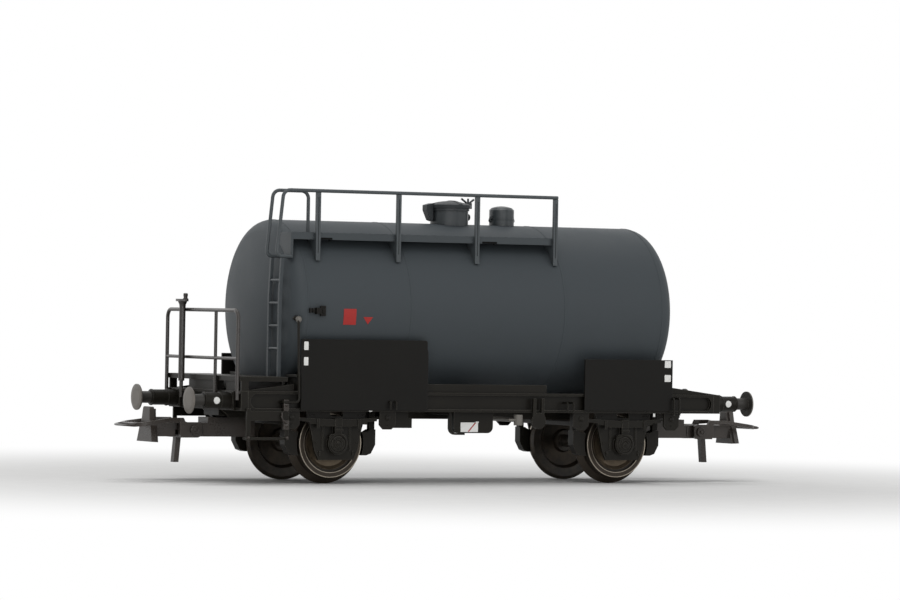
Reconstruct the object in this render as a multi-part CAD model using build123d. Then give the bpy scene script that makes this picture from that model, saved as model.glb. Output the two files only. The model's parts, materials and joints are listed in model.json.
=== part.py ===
from build123d import *
import os
from math import asin, cos, pi, sin, sqrt

# Scale model of a two-axle railway tank wagon, in millimetres.
# X runs along the wagon with the brakeman's platform at -X, the walkway is on the -Y side.
# Heights are above the rail top. Saved pieces are lifted by the flange depth, so that the
# flanges stand on zero. An "inset", "set back" or "room" is a clearance to what it names.

# Wagon as a whole
LENGTH_OVER_BUFFERS = 101.15
WHEELBASE = 51.72
BUFFER_SPACING = 20.06
BUFFER_HEIGHT = 12.04
BUFFER_LENGTH = 7.425

# Wheelsets
BACK_TO_BACK = 14.4
TYRE_WIDTH = 2.8
TREAD_RADIUS = 5.4
FLANGE_DEPTH = 1.0
FLANGE_WIDTH = 0.5
RIM_DEPTH = 0.85
GROOVE_DEPTH = 0.45
GROOVE_WIDTH = 0.4
DISC_SETBACK = 0.6
DISC_DISH = 0.25
HUB_RADIUS = 1.7
HUB_LENGTH = 0.55
AXLE_RADIUS = 1.0
JOURNAL_RADIUS = 0.5
BEARING_CLEARANCE = 0.06
POINT_DEPTH = 0.7

# Underframe
FRAME_HALF_WIDTH = 13.6
SOLEBAR_THICKNESS = 1.2
SOLEBAR_RECESS = 0.6
SOLEBAR_BOTTOM = 10.5
SOLEBAR_DEPTH = 3.06
FLANGE_THICKNESS = 0.4
HEADSTOCK_THICKNESS = 1.2
HEADSTOCK_RECESS = 0.4
SILL_SPACING = 6.4
SILL_THICKNESS = 0.9
SILL_DEPTH = 3.25
SILL_DROP = 1.35
SILL_TAPER = 1.6
CROSS_MEMBER_THICKNESS = 1.0
CROSS_MEMBER_DEPTH = 1.9
CROSS_MEMBER_SPACING = 13.0

# Tank
TANK_RADIUS = 13.85
TANK_LENGTH = 71.6
TANK_SINK = 0.71
DISH_DEPTH = 3.9
KNUCKLE_RADIUS = 2.4
SEAM_WIDTH = 0.25
SEAM_HEIGHT = 0.04
SEAM_SPACING = 27.7
SADDLE_OVERHANG = 0.1
SADDLE_THICKNESS = 2.2
SADDLE_REACH = 3.35
SADDLE_WEB = 1.0
CRADLE_HALF_LENGTH = 11.0
CRADLE_HEIGHT = 1.34
CRADLE_THICKNESS = 0.8
GUSSET_HEIGHT = 1.15
GUSSET_LENGTH = 8.9
GUSSET_INSET = 0.25

# Running gear
GUARD_THICKNESS = 0.5
GUARD_SETBACK = 1.6
GUARD_BOTTOM = 2.85
GUARD_HALF_WIDTHS = {"top": 5.2, "shoulder": 4.4, "waist": 3.75, "foot": 3.05}
GUARD_HEIGHTS = {"shoulder": 7.5, "waist": 4.4}
GUARD_WINDOW = 2.2
GUARD_FLANGE = 1.4
GUIDE_SPACING = 4.7
GUIDE_WIDTH = 0.3
GUIDE_PROUD = 0.2
BOX_RADIUS = 1.7
BOX_DEPTH = 0.75
BOX_COVER_RADIUS = 1.15
BOX_COVER_DEPTH = 0.15
SPRING_HALF_LENGTH = 8.4
SPRING_WIDTH = 0.8
BUCKLE_WIDTH = 1.2
SPRING_LEAF = 0.28
SPRING_LEAVES = 4
SPRING_DROP = 0.8
SPRING_CAMBER = 0.45
SHACKLE_RADIUS = 0.35
SPRING_HANGER_WIDTH = 2.8
SPRING_HANGER_DROP = 2.8
SPRING_HANGER_THICKNESS = 0.4

# Brakes
SHOE_CLEARANCE = 0.45
SHOE_WIDTH = 1.7
SHOE_FACE_THICKNESS = 0.5
SHOE_BOTTOM = 3.5
SHOE_TOP = 7.2
SHOE_BLOCK_TOP = 7.6
SHOE_BLOCK_DEPTH = 1.6
SHOE_BEVEL = 1.7
SHOE_LIP = 0.3
HANGER_THICKNESS = 0.9
BEAM_DEPTH = 0.7
BEAM_SET_UP = 0.15

# Brake fittings under the solebar, columns: low X, high X, bottom, set back from the frame's side
SMALL_BOX = {"low": -16.0, "high": -12.3, "bottom": 7.9, "top": 9.5, "back": 2.1}
CHANGEOVER_BOX = {"low": -5.1, "high": 1.95, "bottom": 7.15, "back": 1.5}
FITTING_DEPTH = 1.4
FITTING_ARM = 0.5
BOX_CORNER = 1.0
STRAP_OFFSET = 0.6
STRAP_THICKNESS = 0.3
VALVE = {"x": 5.9, "height": 9.3, "radius": 0.72, "length": 1.7, "handle": 1.9, "lever": 0.22}
DISC = {"x": 9.2, "height": 9.2, "radius": 1.3, "thickness": 0.5, "strap": 0.5, "spacing": 1.5}

# Buffers
BUFFER_HEAD_RADIUS = 2.07
BUFFER_HEAD_THICKNESS = 0.34
BUFFER_HEAD_CROWN = 0.1
BUFFER_FACE_RADIUS = 1.4
BUFFER_SHANK_RADIUS = 0.95
BUFFER_CASE_RADIUS = 1.23
BUFFER_CASE_LENGTH = 2.65
BUFFER_BASE_RADIUS = 1.3
BUFFER_BASE_LENGTH = 2.2
BUFFER_PLATE_SIDE = 3.0
BUFFER_PLATE_THICKNESS = 0.4

# Couplings: reaches are outwards from the swing pivot for the arm, from the arm's end for the head,
# and from the bow's own pivot for the bow
SWING_PIVOT = 37.0
PIVOT_RADIUS = 0.9
PIVOT_CLEARANCE = 0.06
ARM_BOTTOM = 6.15
ARM_HEIGHT = 3.05
ARM_STEP = 0.9
ARM_NOSE = 3.25
ARM_WIDTH = 3.7
ARM_TAIL = 1.8
ARM_REACH = 9.6
ARM_HEADROOM = 0.3
SOCKET_LENGTH = 3.0
SOCKET_WALL = 0.45
NECK_HALF_WIDTH = 1.75
NECK_SLOT = {"low": 0.95, "high": 2.9, "depth": 1.1}
HEAD_REACH = 5.4
MOUNT_TAIL = 1.0
BUMPER_PLATE = 0.8
BUMPER_RIB = 0.45
BUMPER_RIB_INSET = 0.3
BUMPER_LEAN = 3.0
# Columns: half width, height
BUMPER_OUTLINE = ((2.9, 5.25), (2.1, 7.8), (1.55, 8.6), (1.2, 10.75))
BUMPER_CORNER = 0.5
BOW_PIVOT_SETBACK = 0.6
BOW_PIVOT_HEIGHT = 7.2
BOW_PIN_RADIUS = 0.35
BOW_PIN_HEAD_RADIUS = 0.75
BOW_PIN_HEAD = 0.2
BOW_PIN_CLEARANCE = 0.05
EAR_GAP = 0.2
EAR_THICKNESS = 0.7
EAR_LENGTHS = {"inner": 1.15, "step": 1.55, "outer": 2.5}
EAR_HEIGHT = 2.4
EAR_CORNER = 0.7
BOW_RISE = 0.7
BOW_REACH = 10.35
BOW_TIP_DROP = 0.85
BOW_SHOULDER_REACH = 4.5
BOW_BAR = 0.6
BOW_WIDTH = 9.2
BOW_CORNER = 1.9
BRIDGE = {"low": 1.3, "high": 2.3, "thickness": 0.45}
FINGER_BOTTOM = 2.1
FINGER_WIDTH = 1.15
FINGER_DEPTH = 0.85
FINGER_LEAN = 0.35

# Platform at the brake end
RAIL_RADIUS = 0.3
THIN_RAIL_RADIUS = 0.26
DECK_HEIGHT = 2.24
DECK_THICKNESS = 0.7
DECK_UNDERLAP = 0.6
DECK_LEG = 0.4
DECK_BEARERS = ((-12.3, -8.0), (-4.5, 6.0))
RAILING_HEIGHT = 10.25
RAILING_MIDDLE_HEIGHT = 2.77
RAILING_INSET = 0.3
RAILING_POST = -5.1
RAILING_BEND = 1.3
RAILING_FOOT = 1.4
COLUMN_Y = 5.9
COLUMN_RADIUS = 0.5
COLUMN_RISE = 1.3
COLUMN_LEG_RADIUS = 0.3
COLUMN_LEG_LENGTH = 1.2
CRANK_COLLAR = {"radius": 0.62, "height": 0.8}
CRANK_REACHES = (1.2, -1.1)
CRANK_THICKNESS = 0.35
CRANK_WIDTH = 0.5
CRANK_HANDLE_HEIGHT = 0.9
CRANK_HANDLE_RADIUS = 0.22

# Steps and grab rod at the platform end, the steps on both sides
STEP_HANGERS = (-42.0, -35.4)
STEP_HANGER_WIDTH = 0.65
STEP_THICKNESS = 0.35
STEP_BOTTOM = 6.0
STEP_TREAD_DEPTH = 2.0
STEP_TREAD_THICKNESS = 0.4
STEP_PANEL_BOTTOM = 9.0
GRAB_RADIUS = 0.2
GRAB_X = (-33.85, -33.5, -36.1)
GRAB_STANDOFF = 0.6
GRAB_DROP = 1.7
GRAB_HEIGHT = 11.9
GRAB_BEND = 0.6
GRAB_BULB_RADIUS = 0.42

# Walkway beside the manway
WALKWAY_ENDS = (-34.1, 13.1)
WALKWAY_DROP = 2.1
WALKWAY_WIDTH = 4.25
WALKWAY_THICKNESS = 0.6
WALKWAY_LIP = 1.1
WALKWAY_LIP_THICKNESS = 0.4
WALKWAY_POSTS = (-29.6, -15.45, -1.4, 12.8)
WALKWAY_END_PLATE = 0.4
POST_WIDTH = 0.75
POST_DEPTH = 0.5
POST_GROOVE = 0.15
POST_FOOT_OVERLAP = 0.2
WALKWAY_RAIL_RISE = 6.55
WALKWAY_RAIL_RADIUS = 0.28
RAIL_OVERRUN = 1.5
RAIL_FOOT_REACH = 1.0
LADDER_GAP = 0.35
LADDER_SPACING = 3.7
LADDER_OUTSET = 0.45
LADDER_DROP = 4.05
LADDER_KNEE_DROP = 5.9
LADDER_LEAN = -0.6
STRINGER_WIDTH = 0.5
RUNG_RADIUS = 0.22
RUNG_SPACING = 3.57
RUNG_FIRST = 4.4
HOOP_LENGTH = 4.6
HOOP_BEND = 1.2
RAIL_FOOT_BEND = 0.8

# Fittings on the tank, heights above its top
MANWAY_X = -0.26
MANWAY_RADIUS = 3.07
NECK_SINK = 1.4
MANWAY_HEIGHT = 2.55
MANWAY_RING_RADIUS = 3.25
MANWAY_RING_HEIGHT = 0.4
LID_OVERHANG = 0.25
LID_RIM = 0.55
LID_CROWN = 0.65
HINGE_REACH = 4.5
HINGE_WIDTH = 1.5
HINGE_CLEARANCE = 0.02
# Columns: how far short of the hinge's reach, height above the lid's seat
HINGE_OUTLINE = ((0.7, -1.95), (0.0, -0.4), (0.0, 0.45), (1.05, 0.75))
HINGE_FOOT = -2.15
CLAMP_X = 3.4
CLAMP_BLOCK = 0.95
CLAMP_HEIGHT = 0.95
CLAMP_PRONG_RADIUS = 0.17
# Prongs, columns: lean in degrees, length
CLAMP_PRONGS = ((-55, 1.5), (0, 0.9), (54, 1.3))
KNOB_RADIUS = 0.42
VENT_X = 9.35
VENT_RADIUS = 2.02
VENT_HEIGHT = 3.15
VENT_CAP_HEIGHT = 2.0
VENT_CORNER = 0.35
VENT_CROWN = 0.3
VENT_BEAD = 0.06
VENT_LUG_RADIUS = 0.36
# Small clamp on the near side, columns: low X, high X, depth below the axis, half height, stand-off
SIDE_FITTING = (
    (-31.9, -31.55, 0.45, 0.35, 0.45),
    (-31.35, -31.0, 0.45, 0.35, 0.45),
    (-31.9, -30.85, 0.45, 0.15, 0.3),
    (-30.85, -29.95, 0.5, 0.5, 0.75),
    (-29.95, -29.1, 0.5, 0.8, 0.35))
SIDE_FITTING_BOSS = 0.3

# Blank boards for lettering, columns: low X, high X, bottom, top, radius of the inner top corner
BOARDS = {"large": (-33.0, -10.8, 10.7, 21.3, 1.6), "small": (17.65, 33.9, 10.9, 19.15, 0.0)}
BOARD_THICKNESS = 0.35
BOARD_GAP = 0.3

# Rope hooks and brackets at the solebar, columns: middle X, low height, high height, spacing, on a board
SOLEBAR_HOOKS = (
    (-17.1, 10.9, 12.1, 1.0, True),
    (14.8, 10.65, 12.1, 1.1, False),
    (34.5, 10.2, 12.9, 1.05, False))
HOOK_RADIUS = 0.16
HOOK_PROUD = 0.5

# Sizes worked out from those above
END = LENGTH_OVER_BUFFERS / 2
HEADSTOCK_FACE = END - BUFFER_LENGTH
HEADSTOCK_BACK = HEADSTOCK_FACE - HEADSTOCK_THICKNESS
AXLE_X = WHEELBASE / 2
AXLE_Z = TREAD_RADIUS
WHEEL_BACK = BACK_TO_BACK / 2
WHEEL_FRONT = WHEEL_BACK + TYRE_WIDTH
SOLEBAR_TOP = SOLEBAR_BOTTOM + SOLEBAR_DEPTH
SOLEBAR_INNER = FRAME_HALF_WIDTH - SOLEBAR_THICKNESS
SILL_BOTTOM = SOLEBAR_BOTTOM - SILL_DROP
SILL_TOP = SILL_BOTTOM + SILL_DEPTH
SILL_INNER = (SILL_SPACING - SILL_THICKNESS) / 2
SILL_OUTER = (SILL_SPACING + SILL_THICKNESS) / 2
TANK_AXIS = SOLEBAR_TOP - TANK_SINK + TANK_RADIUS
TANK_TOP = TANK_AXIS + TANK_RADIUS
SHELL_HALF = TANK_LENGTH / 2 - DISH_DEPTH
GUARD_FACE = FRAME_HALF_WIDTH - GUARD_SETBACK
GUARD_INNER = GUARD_FACE - GUARD_THICKNESS
BOX_FACE = GUARD_FACE + BOX_DEPTH
SPRING_TOP = SOLEBAR_BOTTOM - SPRING_DROP
SPRING_SEAT = SPRING_TOP - SPRING_CAMBER - SPRING_LEAVES * SPRING_LEAF
SPRING_FRONT = GUARD_FACE + SPRING_WIDTH
ARM_TOP = ARM_BOTTOM + ARM_HEIGHT
ARM_INNER_END = SWING_PIVOT - ARM_TAIL
ARM_OUTER_END = SWING_PIVOT + ARM_REACH
BUMPER_BACK = ARM_OUTER_END + HEAD_REACH
BOW_PIVOT_PLACE = ARM_OUTER_END - BOW_PIVOT_SETBACK
BOW_SHOULDER = BOW_PIVOT_PLACE + BOW_SHOULDER_REACH
BOW_TIP = BOW_PIVOT_PLACE + BOW_REACH
NECK_TOP = ARM_TOP - ARM_STEP
MOUNT_BOTTOM = ARM_TOP + ARM_HEADROOM
EAR_INNER = ARM_WIDTH / 2 + EAR_GAP
EAR_OUTER = EAR_INNER + EAR_THICKNESS
RAILING_X = HEADSTOCK_FACE + RAIL_RADIUS + RAILING_INSET
RAILING_Y = FRAME_HALF_WIDTH - RAILING_INSET
DECK_TOP = SOLEBAR_TOP + DECK_HEIGHT
DECK_BOTTOM = DECK_TOP - DECK_THICKNESS
RAILING_TOP = DECK_TOP + RAILING_HEIGHT
RAILING_MIDDLE = DECK_TOP + RAILING_MIDDLE_HEIGHT
WALKWAY_TOP = TANK_TOP - WALKWAY_DROP
WALKWAY_UNDER = WALKWAY_TOP - WALKWAY_LIP
WALKWAY_INNER = sqrt(TANK_RADIUS**2 - (WALKWAY_TOP - TANK_AXIS) ** 2)
WALKWAY_OUTER = WALKWAY_INNER + WALKWAY_WIDTH
WALKWAY_RAIL_HEIGHT = WALKWAY_TOP + WALKWAY_RAIL_RISE
LADDER_X = -TANK_LENGTH / 2 - LADDER_GAP + STRINGER_WIDTH
LADDER_RAILS = (-WALKWAY_OUTER + LADDER_OUTSET + LADDER_SPACING, -WALKWAY_OUTER + LADDER_OUTSET)
LADDER_TOP = WALKWAY_TOP - LADDER_DROP

pieces = {}


def keep(node, *shapes):
    """Name a node made of one or more solids."""
    solids = [solid for shape in shapes for solid in shape.solids()]
    pieces[node] = solids[0] if len(solids) == 1 else Compound(solids)


def main_part(shape):
    """The largest solid of a shape that a cut may have split."""
    return shape.solids().sort_by(SortBy.VOLUME)[-1]


def turned(shape):
    """The same shape at the other end and on the other side."""
    return Rot(0, 0, 180) * shape


def across(shape):
    """The same shape on the other side."""
    return mirror(shape, about=Plane.XZ)


def block(x, y, z):
    """A box between three pairs of planes."""
    centre = Pos(sum(x) / 2, sum(y) / 2, sum(z) / 2)
    return centre * Box(abs(x[1] - x[0]), abs(y[1] - y[0]), abs(z[1] - z[0]))


def around(middle, size):
    """Two planes, half a size to either side of a middle."""
    return (middle - size / 2, middle + size / 2)


def rod(start, end, radius):
    """A round bar from one point to another."""
    line = Vector(*end) - Vector(*start)
    return extrude(Plane(origin=start, z_dir=line) * Circle(radius), line.length)


def bent_rod(points, bend, radius):
    """A round bar along straight runs with rounded bends."""
    path = FilletPolyline(*points, radius=bend)
    return sweep(Plane(origin=path @ 0, z_dir=path % 0) * Circle(radius), path=path)


def face(points):
    """A flat outline from its corners."""
    return make_face(Polyline(*points, close=True))


def side_plate(outline, y):
    """A plate with its outline in X and Z, between two planes of Y."""
    low, high = sorted(y)
    return extrude(Plane.XZ.offset(-high) * outline, high - low)


def cross_plate(outline, x):
    """A plate with its outline in Y and Z, between two planes of X."""
    low, high = sorted(x)
    return extrude(Plane.YZ.offset(low) * outline, high - low)


def flat_plate(outline, z):
    """A plate with its outline in X and Y, between two heights."""
    low, high = sorted(z)
    return extrude(Plane.XY.offset(low) * outline, high - low)


def mirrored(points):
    """An outline's right half, from the bottom up, and its mirror image."""
    return [*points, *[(-x, z) for x, z in reversed(points)]]


def tank_shell():
    """Cylinder with two torispherical ends, a flat crown and a tight knuckle each, and weld seams."""
    offset = TANK_RADIUS - KNUCKLE_RADIUS
    crown = (offset**2 + DISH_DEPTH**2 - KNUCKLE_RADIUS**2) / (2 * (DISH_DEPTH - KNUCKLE_RADIUS))
    centre = TANK_LENGTH / 2 - crown
    angle = asin(offset / (crown - KNUCKLE_RADIUS))
    turn = (angle + pi / 2) / 2
    half = [
        (TANK_LENGTH / 2, 0),
        (centre + crown * cos(angle / 2), crown * sin(angle / 2)),
        (centre + crown * cos(angle), crown * sin(angle)),
        (SHELL_HALF + KNUCKLE_RADIUS * cos(turn), offset + KNUCKLE_RADIUS * sin(turn)),
        (SHELL_HALF, TANK_RADIUS),
    ]
    ends = []
    for side in (1, -1):
        pole, crown_middle, tangent, knuckle_middle, edge = [(side * x, r) for x, r in half]
        ends += [ThreePointArc(pole, crown_middle, tangent)]
        ends += [ThreePointArc(tangent, knuckle_middle, edge)]
    shell = Line((-SHELL_HALF, TANK_RADIUS), (SHELL_HALF, TANK_RADIUS))
    axis = Line((-TANK_LENGTH / 2, 0), (TANK_LENGTH / 2, 0))
    body = revolve(Plane.XZ * make_face([*ends, shell, axis]), Axis.X)
    for x in (-SHELL_HALF, -SEAM_SPACING / 2, SEAM_SPACING / 2, SHELL_HALF):
        body += Pos(x, 0, 0) * Rot(0, 90, 0) * Cylinder(TANK_RADIUS + SEAM_HEIGHT, SEAM_WIDTH)
    return Pos(0, 0, TANK_AXIS) * body


def make_tank():
    """Tank, manway, vent and the small clamp on its near side."""
    tank = tank_shell()
    keep("tank", tank)
    low = TANK_TOP - NECK_SINK
    neck_top = TANK_TOP + MANWAY_HEIGHT
    neck = flat_plate(Circle(MANWAY_RADIUS), (low, neck_top))
    neck += flat_plate(Circle(MANWAY_RING_RADIUS), (neck_top - MANWAY_RING_HEIGHT, neck_top))
    knob = Sphere(KNOB_RADIUS)
    neck += Pos(MANWAY_RADIUS, 0, neck_top - MANWAY_RING_HEIGHT - 2 * KNOB_RADIUS) * knob
    keep("manway_neck", Pos(MANWAY_X, 0, 0) * neck - tank)
    make_manway_lid(neck_top)
    make_vent(tank, low)
    fitting = None
    for low_x, high_x, depth, half, off in SIDE_FITTING:
        y = (-TANK_RADIUS - off, -TANK_RADIUS + off)
        piece = block((low_x, high_x), y, around(TANK_AXIS - depth, 2 * half))
        fitting = piece if fitting is None else fitting + piece
    spot = ((low_x + high_x) / 2, y[0], TANK_AXIS - depth)
    fitting += rod(spot, (spot[0], spot[1] - SIDE_FITTING_BOSS, spot[2]), SIDE_FITTING_BOSS)
    keep("tank_clamp", main_part(fitting - tank))
    return tank


def make_manway_lid(seat):
    """Domed lid with its hinge bracket on the left and a claw clamp on the right."""
    radius = MANWAY_RING_RADIUS + LID_OVERHANG
    crown = (radius**2 + LID_CROWN**2) / (2 * LID_CROWN)
    top = LID_RIM + LID_CROWN
    angle = asin(radius / crown)
    middle = (crown * sin(angle / 2), top - crown + crown * cos(angle / 2))
    outline = make_face([
        Line((0, 0), (radius, 0)), Line((radius, 0), (radius, LID_RIM)),
        ThreePointArc((radius, LID_RIM), middle, (0, top)), Line((0, top), (0, 0))])
    lid = revolve(Plane.XZ * outline, Axis.Z)
    beside = -MANWAY_RING_RADIUS - HINGE_CLEARANCE
    inside = LID_RIM / 2
    hinge = [
        (-radius / 2, top / 2), (-radius / 2, inside), (beside, inside), (beside, HINGE_FOOT),
        *[(short - HINGE_REACH, height) for short, height in HINGE_OUTLINE]]
    lid += side_plate(face(hinge), around(0, HINGE_WIDTH))
    place = Pos(MANWAY_X, 0, seat)
    keep("manway_lid", place * lid)
    clamp = block(around(CLAMP_X, CLAMP_BLOCK), around(0, CLAMP_BLOCK), (0, CLAMP_HEIGHT))
    root = (CLAMP_X, 0, CLAMP_HEIGHT - CLAMP_PRONG_RADIUS)
    for lean, length in CLAMP_PRONGS:
        swing = Pos(*root) * Rot(0, lean, 0)
        clamp += swing * rod((0, 0, 0), (0, 0, length), CLAMP_PRONG_RADIUS)
    keep("lid_clamp", main_part(place * (clamp - lid)))


def make_vent(tank, low):
    """Plain round vent with a softly domed cap and two small lugs."""
    top = TANK_TOP + VENT_HEIGHT
    seat = top - VENT_CAP_HEIGHT
    neck = flat_plate(Circle(VENT_RADIUS), (low, seat))
    neck += flat_plate(Circle(VENT_RADIUS + VENT_BEAD), (seat - 4 * VENT_BEAD, seat))
    for side in (-1, 1):
        neck += Pos(side * VENT_RADIUS, 0, seat - VENT_LUG_RADIUS) * Sphere(VENT_LUG_RADIUS)
    neck -= flat_plate(Circle(2 * VENT_RADIUS), (seat, top))
    keep("vent_neck", Pos(VENT_X, 0, 0) * neck - tank)
    shoulder = top - VENT_CROWN
    edge = VENT_RADIUS - VENT_CORNER
    bow = (edge**2 + VENT_CROWN**2) / (2 * VENT_CROWN)
    lean = asin(edge / bow)
    middle = (bow * sin(lean / 2), top - bow + bow * cos(lean / 2))
    low = shoulder - VENT_CORNER
    outline = make_face([
        Line((0, seat), (VENT_RADIUS, seat)), Line((VENT_RADIUS, seat), (VENT_RADIUS, low)),
        Line((VENT_RADIUS, low), (edge, shoulder)),
        ThreePointArc((edge, shoulder), middle, (0, top)), Line((0, top), (0, seat))])
    keep("vent_cap", Pos(VENT_X, 0, 0) * revolve(Plane.XZ * outline, Axis.Z))


def make_wheelset(name, x):
    """Axle with pointed ends and two flanged disc wheels."""
    back, front, tread = WHEEL_BACK, WHEEL_FRONT, TREAD_RADIUS
    tip = tread + FLANGE_DEPTH
    rim = tread - RIM_DEPTH
    disc = rim - GROOVE_DEPTH
    web = front - DISC_SETBACK
    profile = [
        (back, AXLE_RADIUS), (back, HUB_RADIUS), (back + DISC_SETBACK, HUB_RADIUS + DISC_DISH),
        (back + DISC_SETBACK, rim - GROOVE_DEPTH), (back, rim), (back, tip - FLANGE_WIDTH),
        (back + FLANGE_WIDTH / 2, tip), (back + FLANGE_WIDTH, tip), (back + 2 * FLANGE_WIDTH, tread),
        (front, tread), (front, rim), (front - GROOVE_WIDTH, rim), (front - GROOVE_WIDTH, disc),
        (front - DISC_DISH, disc), (web, disc - 2 * DISC_DISH), (web, HUB_RADIUS + DISC_DISH),
        (web + HUB_LENGTH, HUB_RADIUS), (web + HUB_LENGTH, AXLE_RADIUS)]
    wheel = revolve(Plane.YZ * face(profile), Axis.Y)
    half = GUARD_INNER + POINT_DEPTH
    collar = web + HUB_LENGTH + JOURNAL_RADIUS
    shaft = [
        (-half, 0), (-half + JOURNAL_RADIUS, JOURNAL_RADIUS), (-collar, JOURNAL_RADIUS),
        (-collar, AXLE_RADIUS), (collar, AXLE_RADIUS), (collar, JOURNAL_RADIUS),
        (half - JOURNAL_RADIUS, JOURNAL_RADIUS), (half, 0)]
    axle = revolve(Plane.YZ * face(shaft), Axis.Y)
    place = Pos(x, 0, AXLE_Z)
    keep(f"axle_{name}", place * axle)
    keep(f"wheels_{name}", place * wheel, place * across(wheel))


def axle_guard(x, side):
    """Guard plate with horn guides and axlebox, on flanges behind the solebar."""
    widths, heights = GUARD_HALF_WIDTHS, GUARD_HEIGHTS
    right = [
        (widths["foot"], GUARD_BOTTOM), (widths["waist"], heights["waist"]),
        (widths["shoulder"], heights["shoulder"]), (widths["top"], SOLEBAR_BOTTOM)]
    spread = (-GUARD_FACE, -GUARD_INNER)
    guard = side_plate(face(mirrored(right)), spread)
    guard -= block(around(0, GUARD_WINDOW), spread, (SPRING_TOP, SOLEBAR_BOTTOM))
    for way in (-1, 1):
        leg = (way * GUARD_WINDOW / 2, way * widths["top"])
        flange = (SOLEBAR_BOTTOM, SOLEBAR_BOTTOM + GUARD_FLANGE)
        guard += block(leg, (-SOLEBAR_INNER, -GUARD_INNER), flange)
        guide = around(way * GUIDE_SPACING / 2, GUIDE_WIDTH)
        guard += block(guide, (-GUARD_FACE - GUIDE_PROUD, -GUARD_FACE), (heights["waist"], SPRING_SEAT))
    guard += rod((0, -GUARD_FACE, AXLE_Z), (0, -BOX_FACE, AXLE_Z), BOX_RADIUS)
    guard += rod((0, -BOX_FACE, AXLE_Z), (0, -BOX_FACE - BOX_COVER_DEPTH, AXLE_Z), BOX_COVER_RADIUS)
    lip = 2 * JOURNAL_RADIUS
    guard += rod((0, -GUARD_INNER, AXLE_Z), (0, -GUARD_INNER + JOURNAL_RADIUS, AXLE_Z), lip)
    seat = around(0, BUCKLE_WIDTH)
    guard += block(seat, (-SPRING_FRONT, -GUARD_FACE), (AXLE_Z + BOX_RADIUS / 2, SPRING_SEAT))
    reach = GUARD_INNER + POINT_DEPTH + 2 * BEARING_CLEARANCE
    hole = JOURNAL_RADIUS + BEARING_CLEARANCE
    start = GUARD_INNER - lip
    bearing = face([(start, 0), (start, hole), (reach - hole, hole), (reach, 0)])
    guard -= Pos(0, 0, AXLE_Z) * across(revolve(Plane.YZ * bearing, Axis.Y))
    guard = Pos(x, 0, 0) * guard
    return guard if side < 0 else across(guard)


def leaf_spring(x, side):
    """Leaf spring over the axlebox: leaves, buckle, end shackles and their hangers on the solebar."""
    bend = SPRING_HALF_LENGTH**2 / (2 * SPRING_CAMBER)
    spread = (-SPRING_FRONT, -GUARD_FACE)
    spring = None
    for leaf in range(SPRING_LEAVES):
        half = SPRING_HALF_LENGTH * (1 - leaf / (SPRING_LEAVES + 1))
        top = SPRING_TOP - SPRING_CAMBER - leaf * SPRING_LEAF
        tip = top + half**2 / (2 * bend)
        low = tip - SPRING_LEAF
        upper = ThreePointArc((-half, tip), (0, top), (half, tip))
        lower = ThreePointArc((half, low), (0, top - SPRING_LEAF), (-half, low))
        ends = [Line(upper @ 1, lower @ 0), Line(lower @ 1, upper @ 0)]
        shape = side_plate(make_face([upper, *ends, lower]), spread)
        spring = shape if spring is None else spring + shape
    buckle = around(0, BUCKLE_WIDTH)
    front = -SPRING_FRONT - SPRING_LEAF / 2
    upright = (SPRING_SEAT, SPRING_TOP - SPRING_CAMBER + SPRING_LEAF / 2)
    spring += block(buckle, (front, -GUARD_FACE), upright)
    eye = SPRING_TOP - SPRING_LEAF / 2
    hanger_front = -SPRING_FRONT - SPRING_HANGER_THICKNESS
    half = SPRING_HANGER_WIDTH / 2
    low = SOLEBAR_BOTTOM - SPRING_HANGER_DROP
    right = [(half / 2, low), (half, low + half / 2), (half, SOLEBAR_BOTTOM)]
    for end in (-SPRING_HALF_LENGTH, SPRING_HALF_LENGTH):
        spring += rod((end, -GUARD_FACE, eye), (end, hanger_front, eye), SHACKLE_RADIUS)
        hanger = Pos(end, 0, 0) * side_plate(face(mirrored(right)), (hanger_front, -SPRING_FRONT))
        spring += hanger
    spring = Pos(x, 0, 0) * spring
    return spring if side < 0 else across(spring)


def make_brake_beam(name, x, facing):
    """Two shoes on one beam, each with its hanger; facing points away from the wheel."""
    gap = TREAD_RADIUS + SHOE_CLEARANCE
    track = WHEEL_BACK + 2 * FLANGE_WIDTH + SHOE_WIDTH / 2
    back = gap + SHOE_FACE_THICKNESS
    deep = back + SHOE_BLOCK_DEPTH
    face_x = gap - SHOE_FACE_THICKNESS
    bevel = SHOE_BOTTOM + SHOE_BEVEL
    outline = [
        (face_x, SHOE_BOTTOM), (back, SHOE_BOTTOM), (back + SHOE_BEVEL / 2, SHOE_BOTTOM + SHOE_LIP),
        (deep, bevel), (deep, SHOE_BLOCK_TOP), (deep - HANGER_THICKNESS, SHOE_BLOCK_TOP),
        (back, SHOE_TOP), (face_x, SHOE_TOP)]
    shoe = side_plate(face(outline), around(-track, SHOE_WIDTH))
    shoe -= rod((0, -track - SHOE_WIDTH, AXLE_Z), (0, -track + SHOE_WIDTH, AXLE_Z), gap)
    hanger = (deep - HANGER_THICKNESS, deep)
    reach = (SHOE_BLOCK_TOP - HANGER_THICKNESS, SOLEBAR_BOTTOM)
    shoe += block(hanger, around(-track, HANGER_THICKNESS), reach)
    top = SILL_BOTTOM - BEAM_SET_UP
    beam = block(around(sum(hanger) / 2, BEAM_DEPTH), (-track, track), (top - BEAM_DEPTH, top))
    shape = shoe + across(shoe) + beam
    turn = Rot(0, 0, 0 if facing > 0 else 180)
    keep(f"brake_beam_{name}", Pos(x, 0, 0) * turn * shape)
    return x + facing * sum(hanger) / 2


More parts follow.
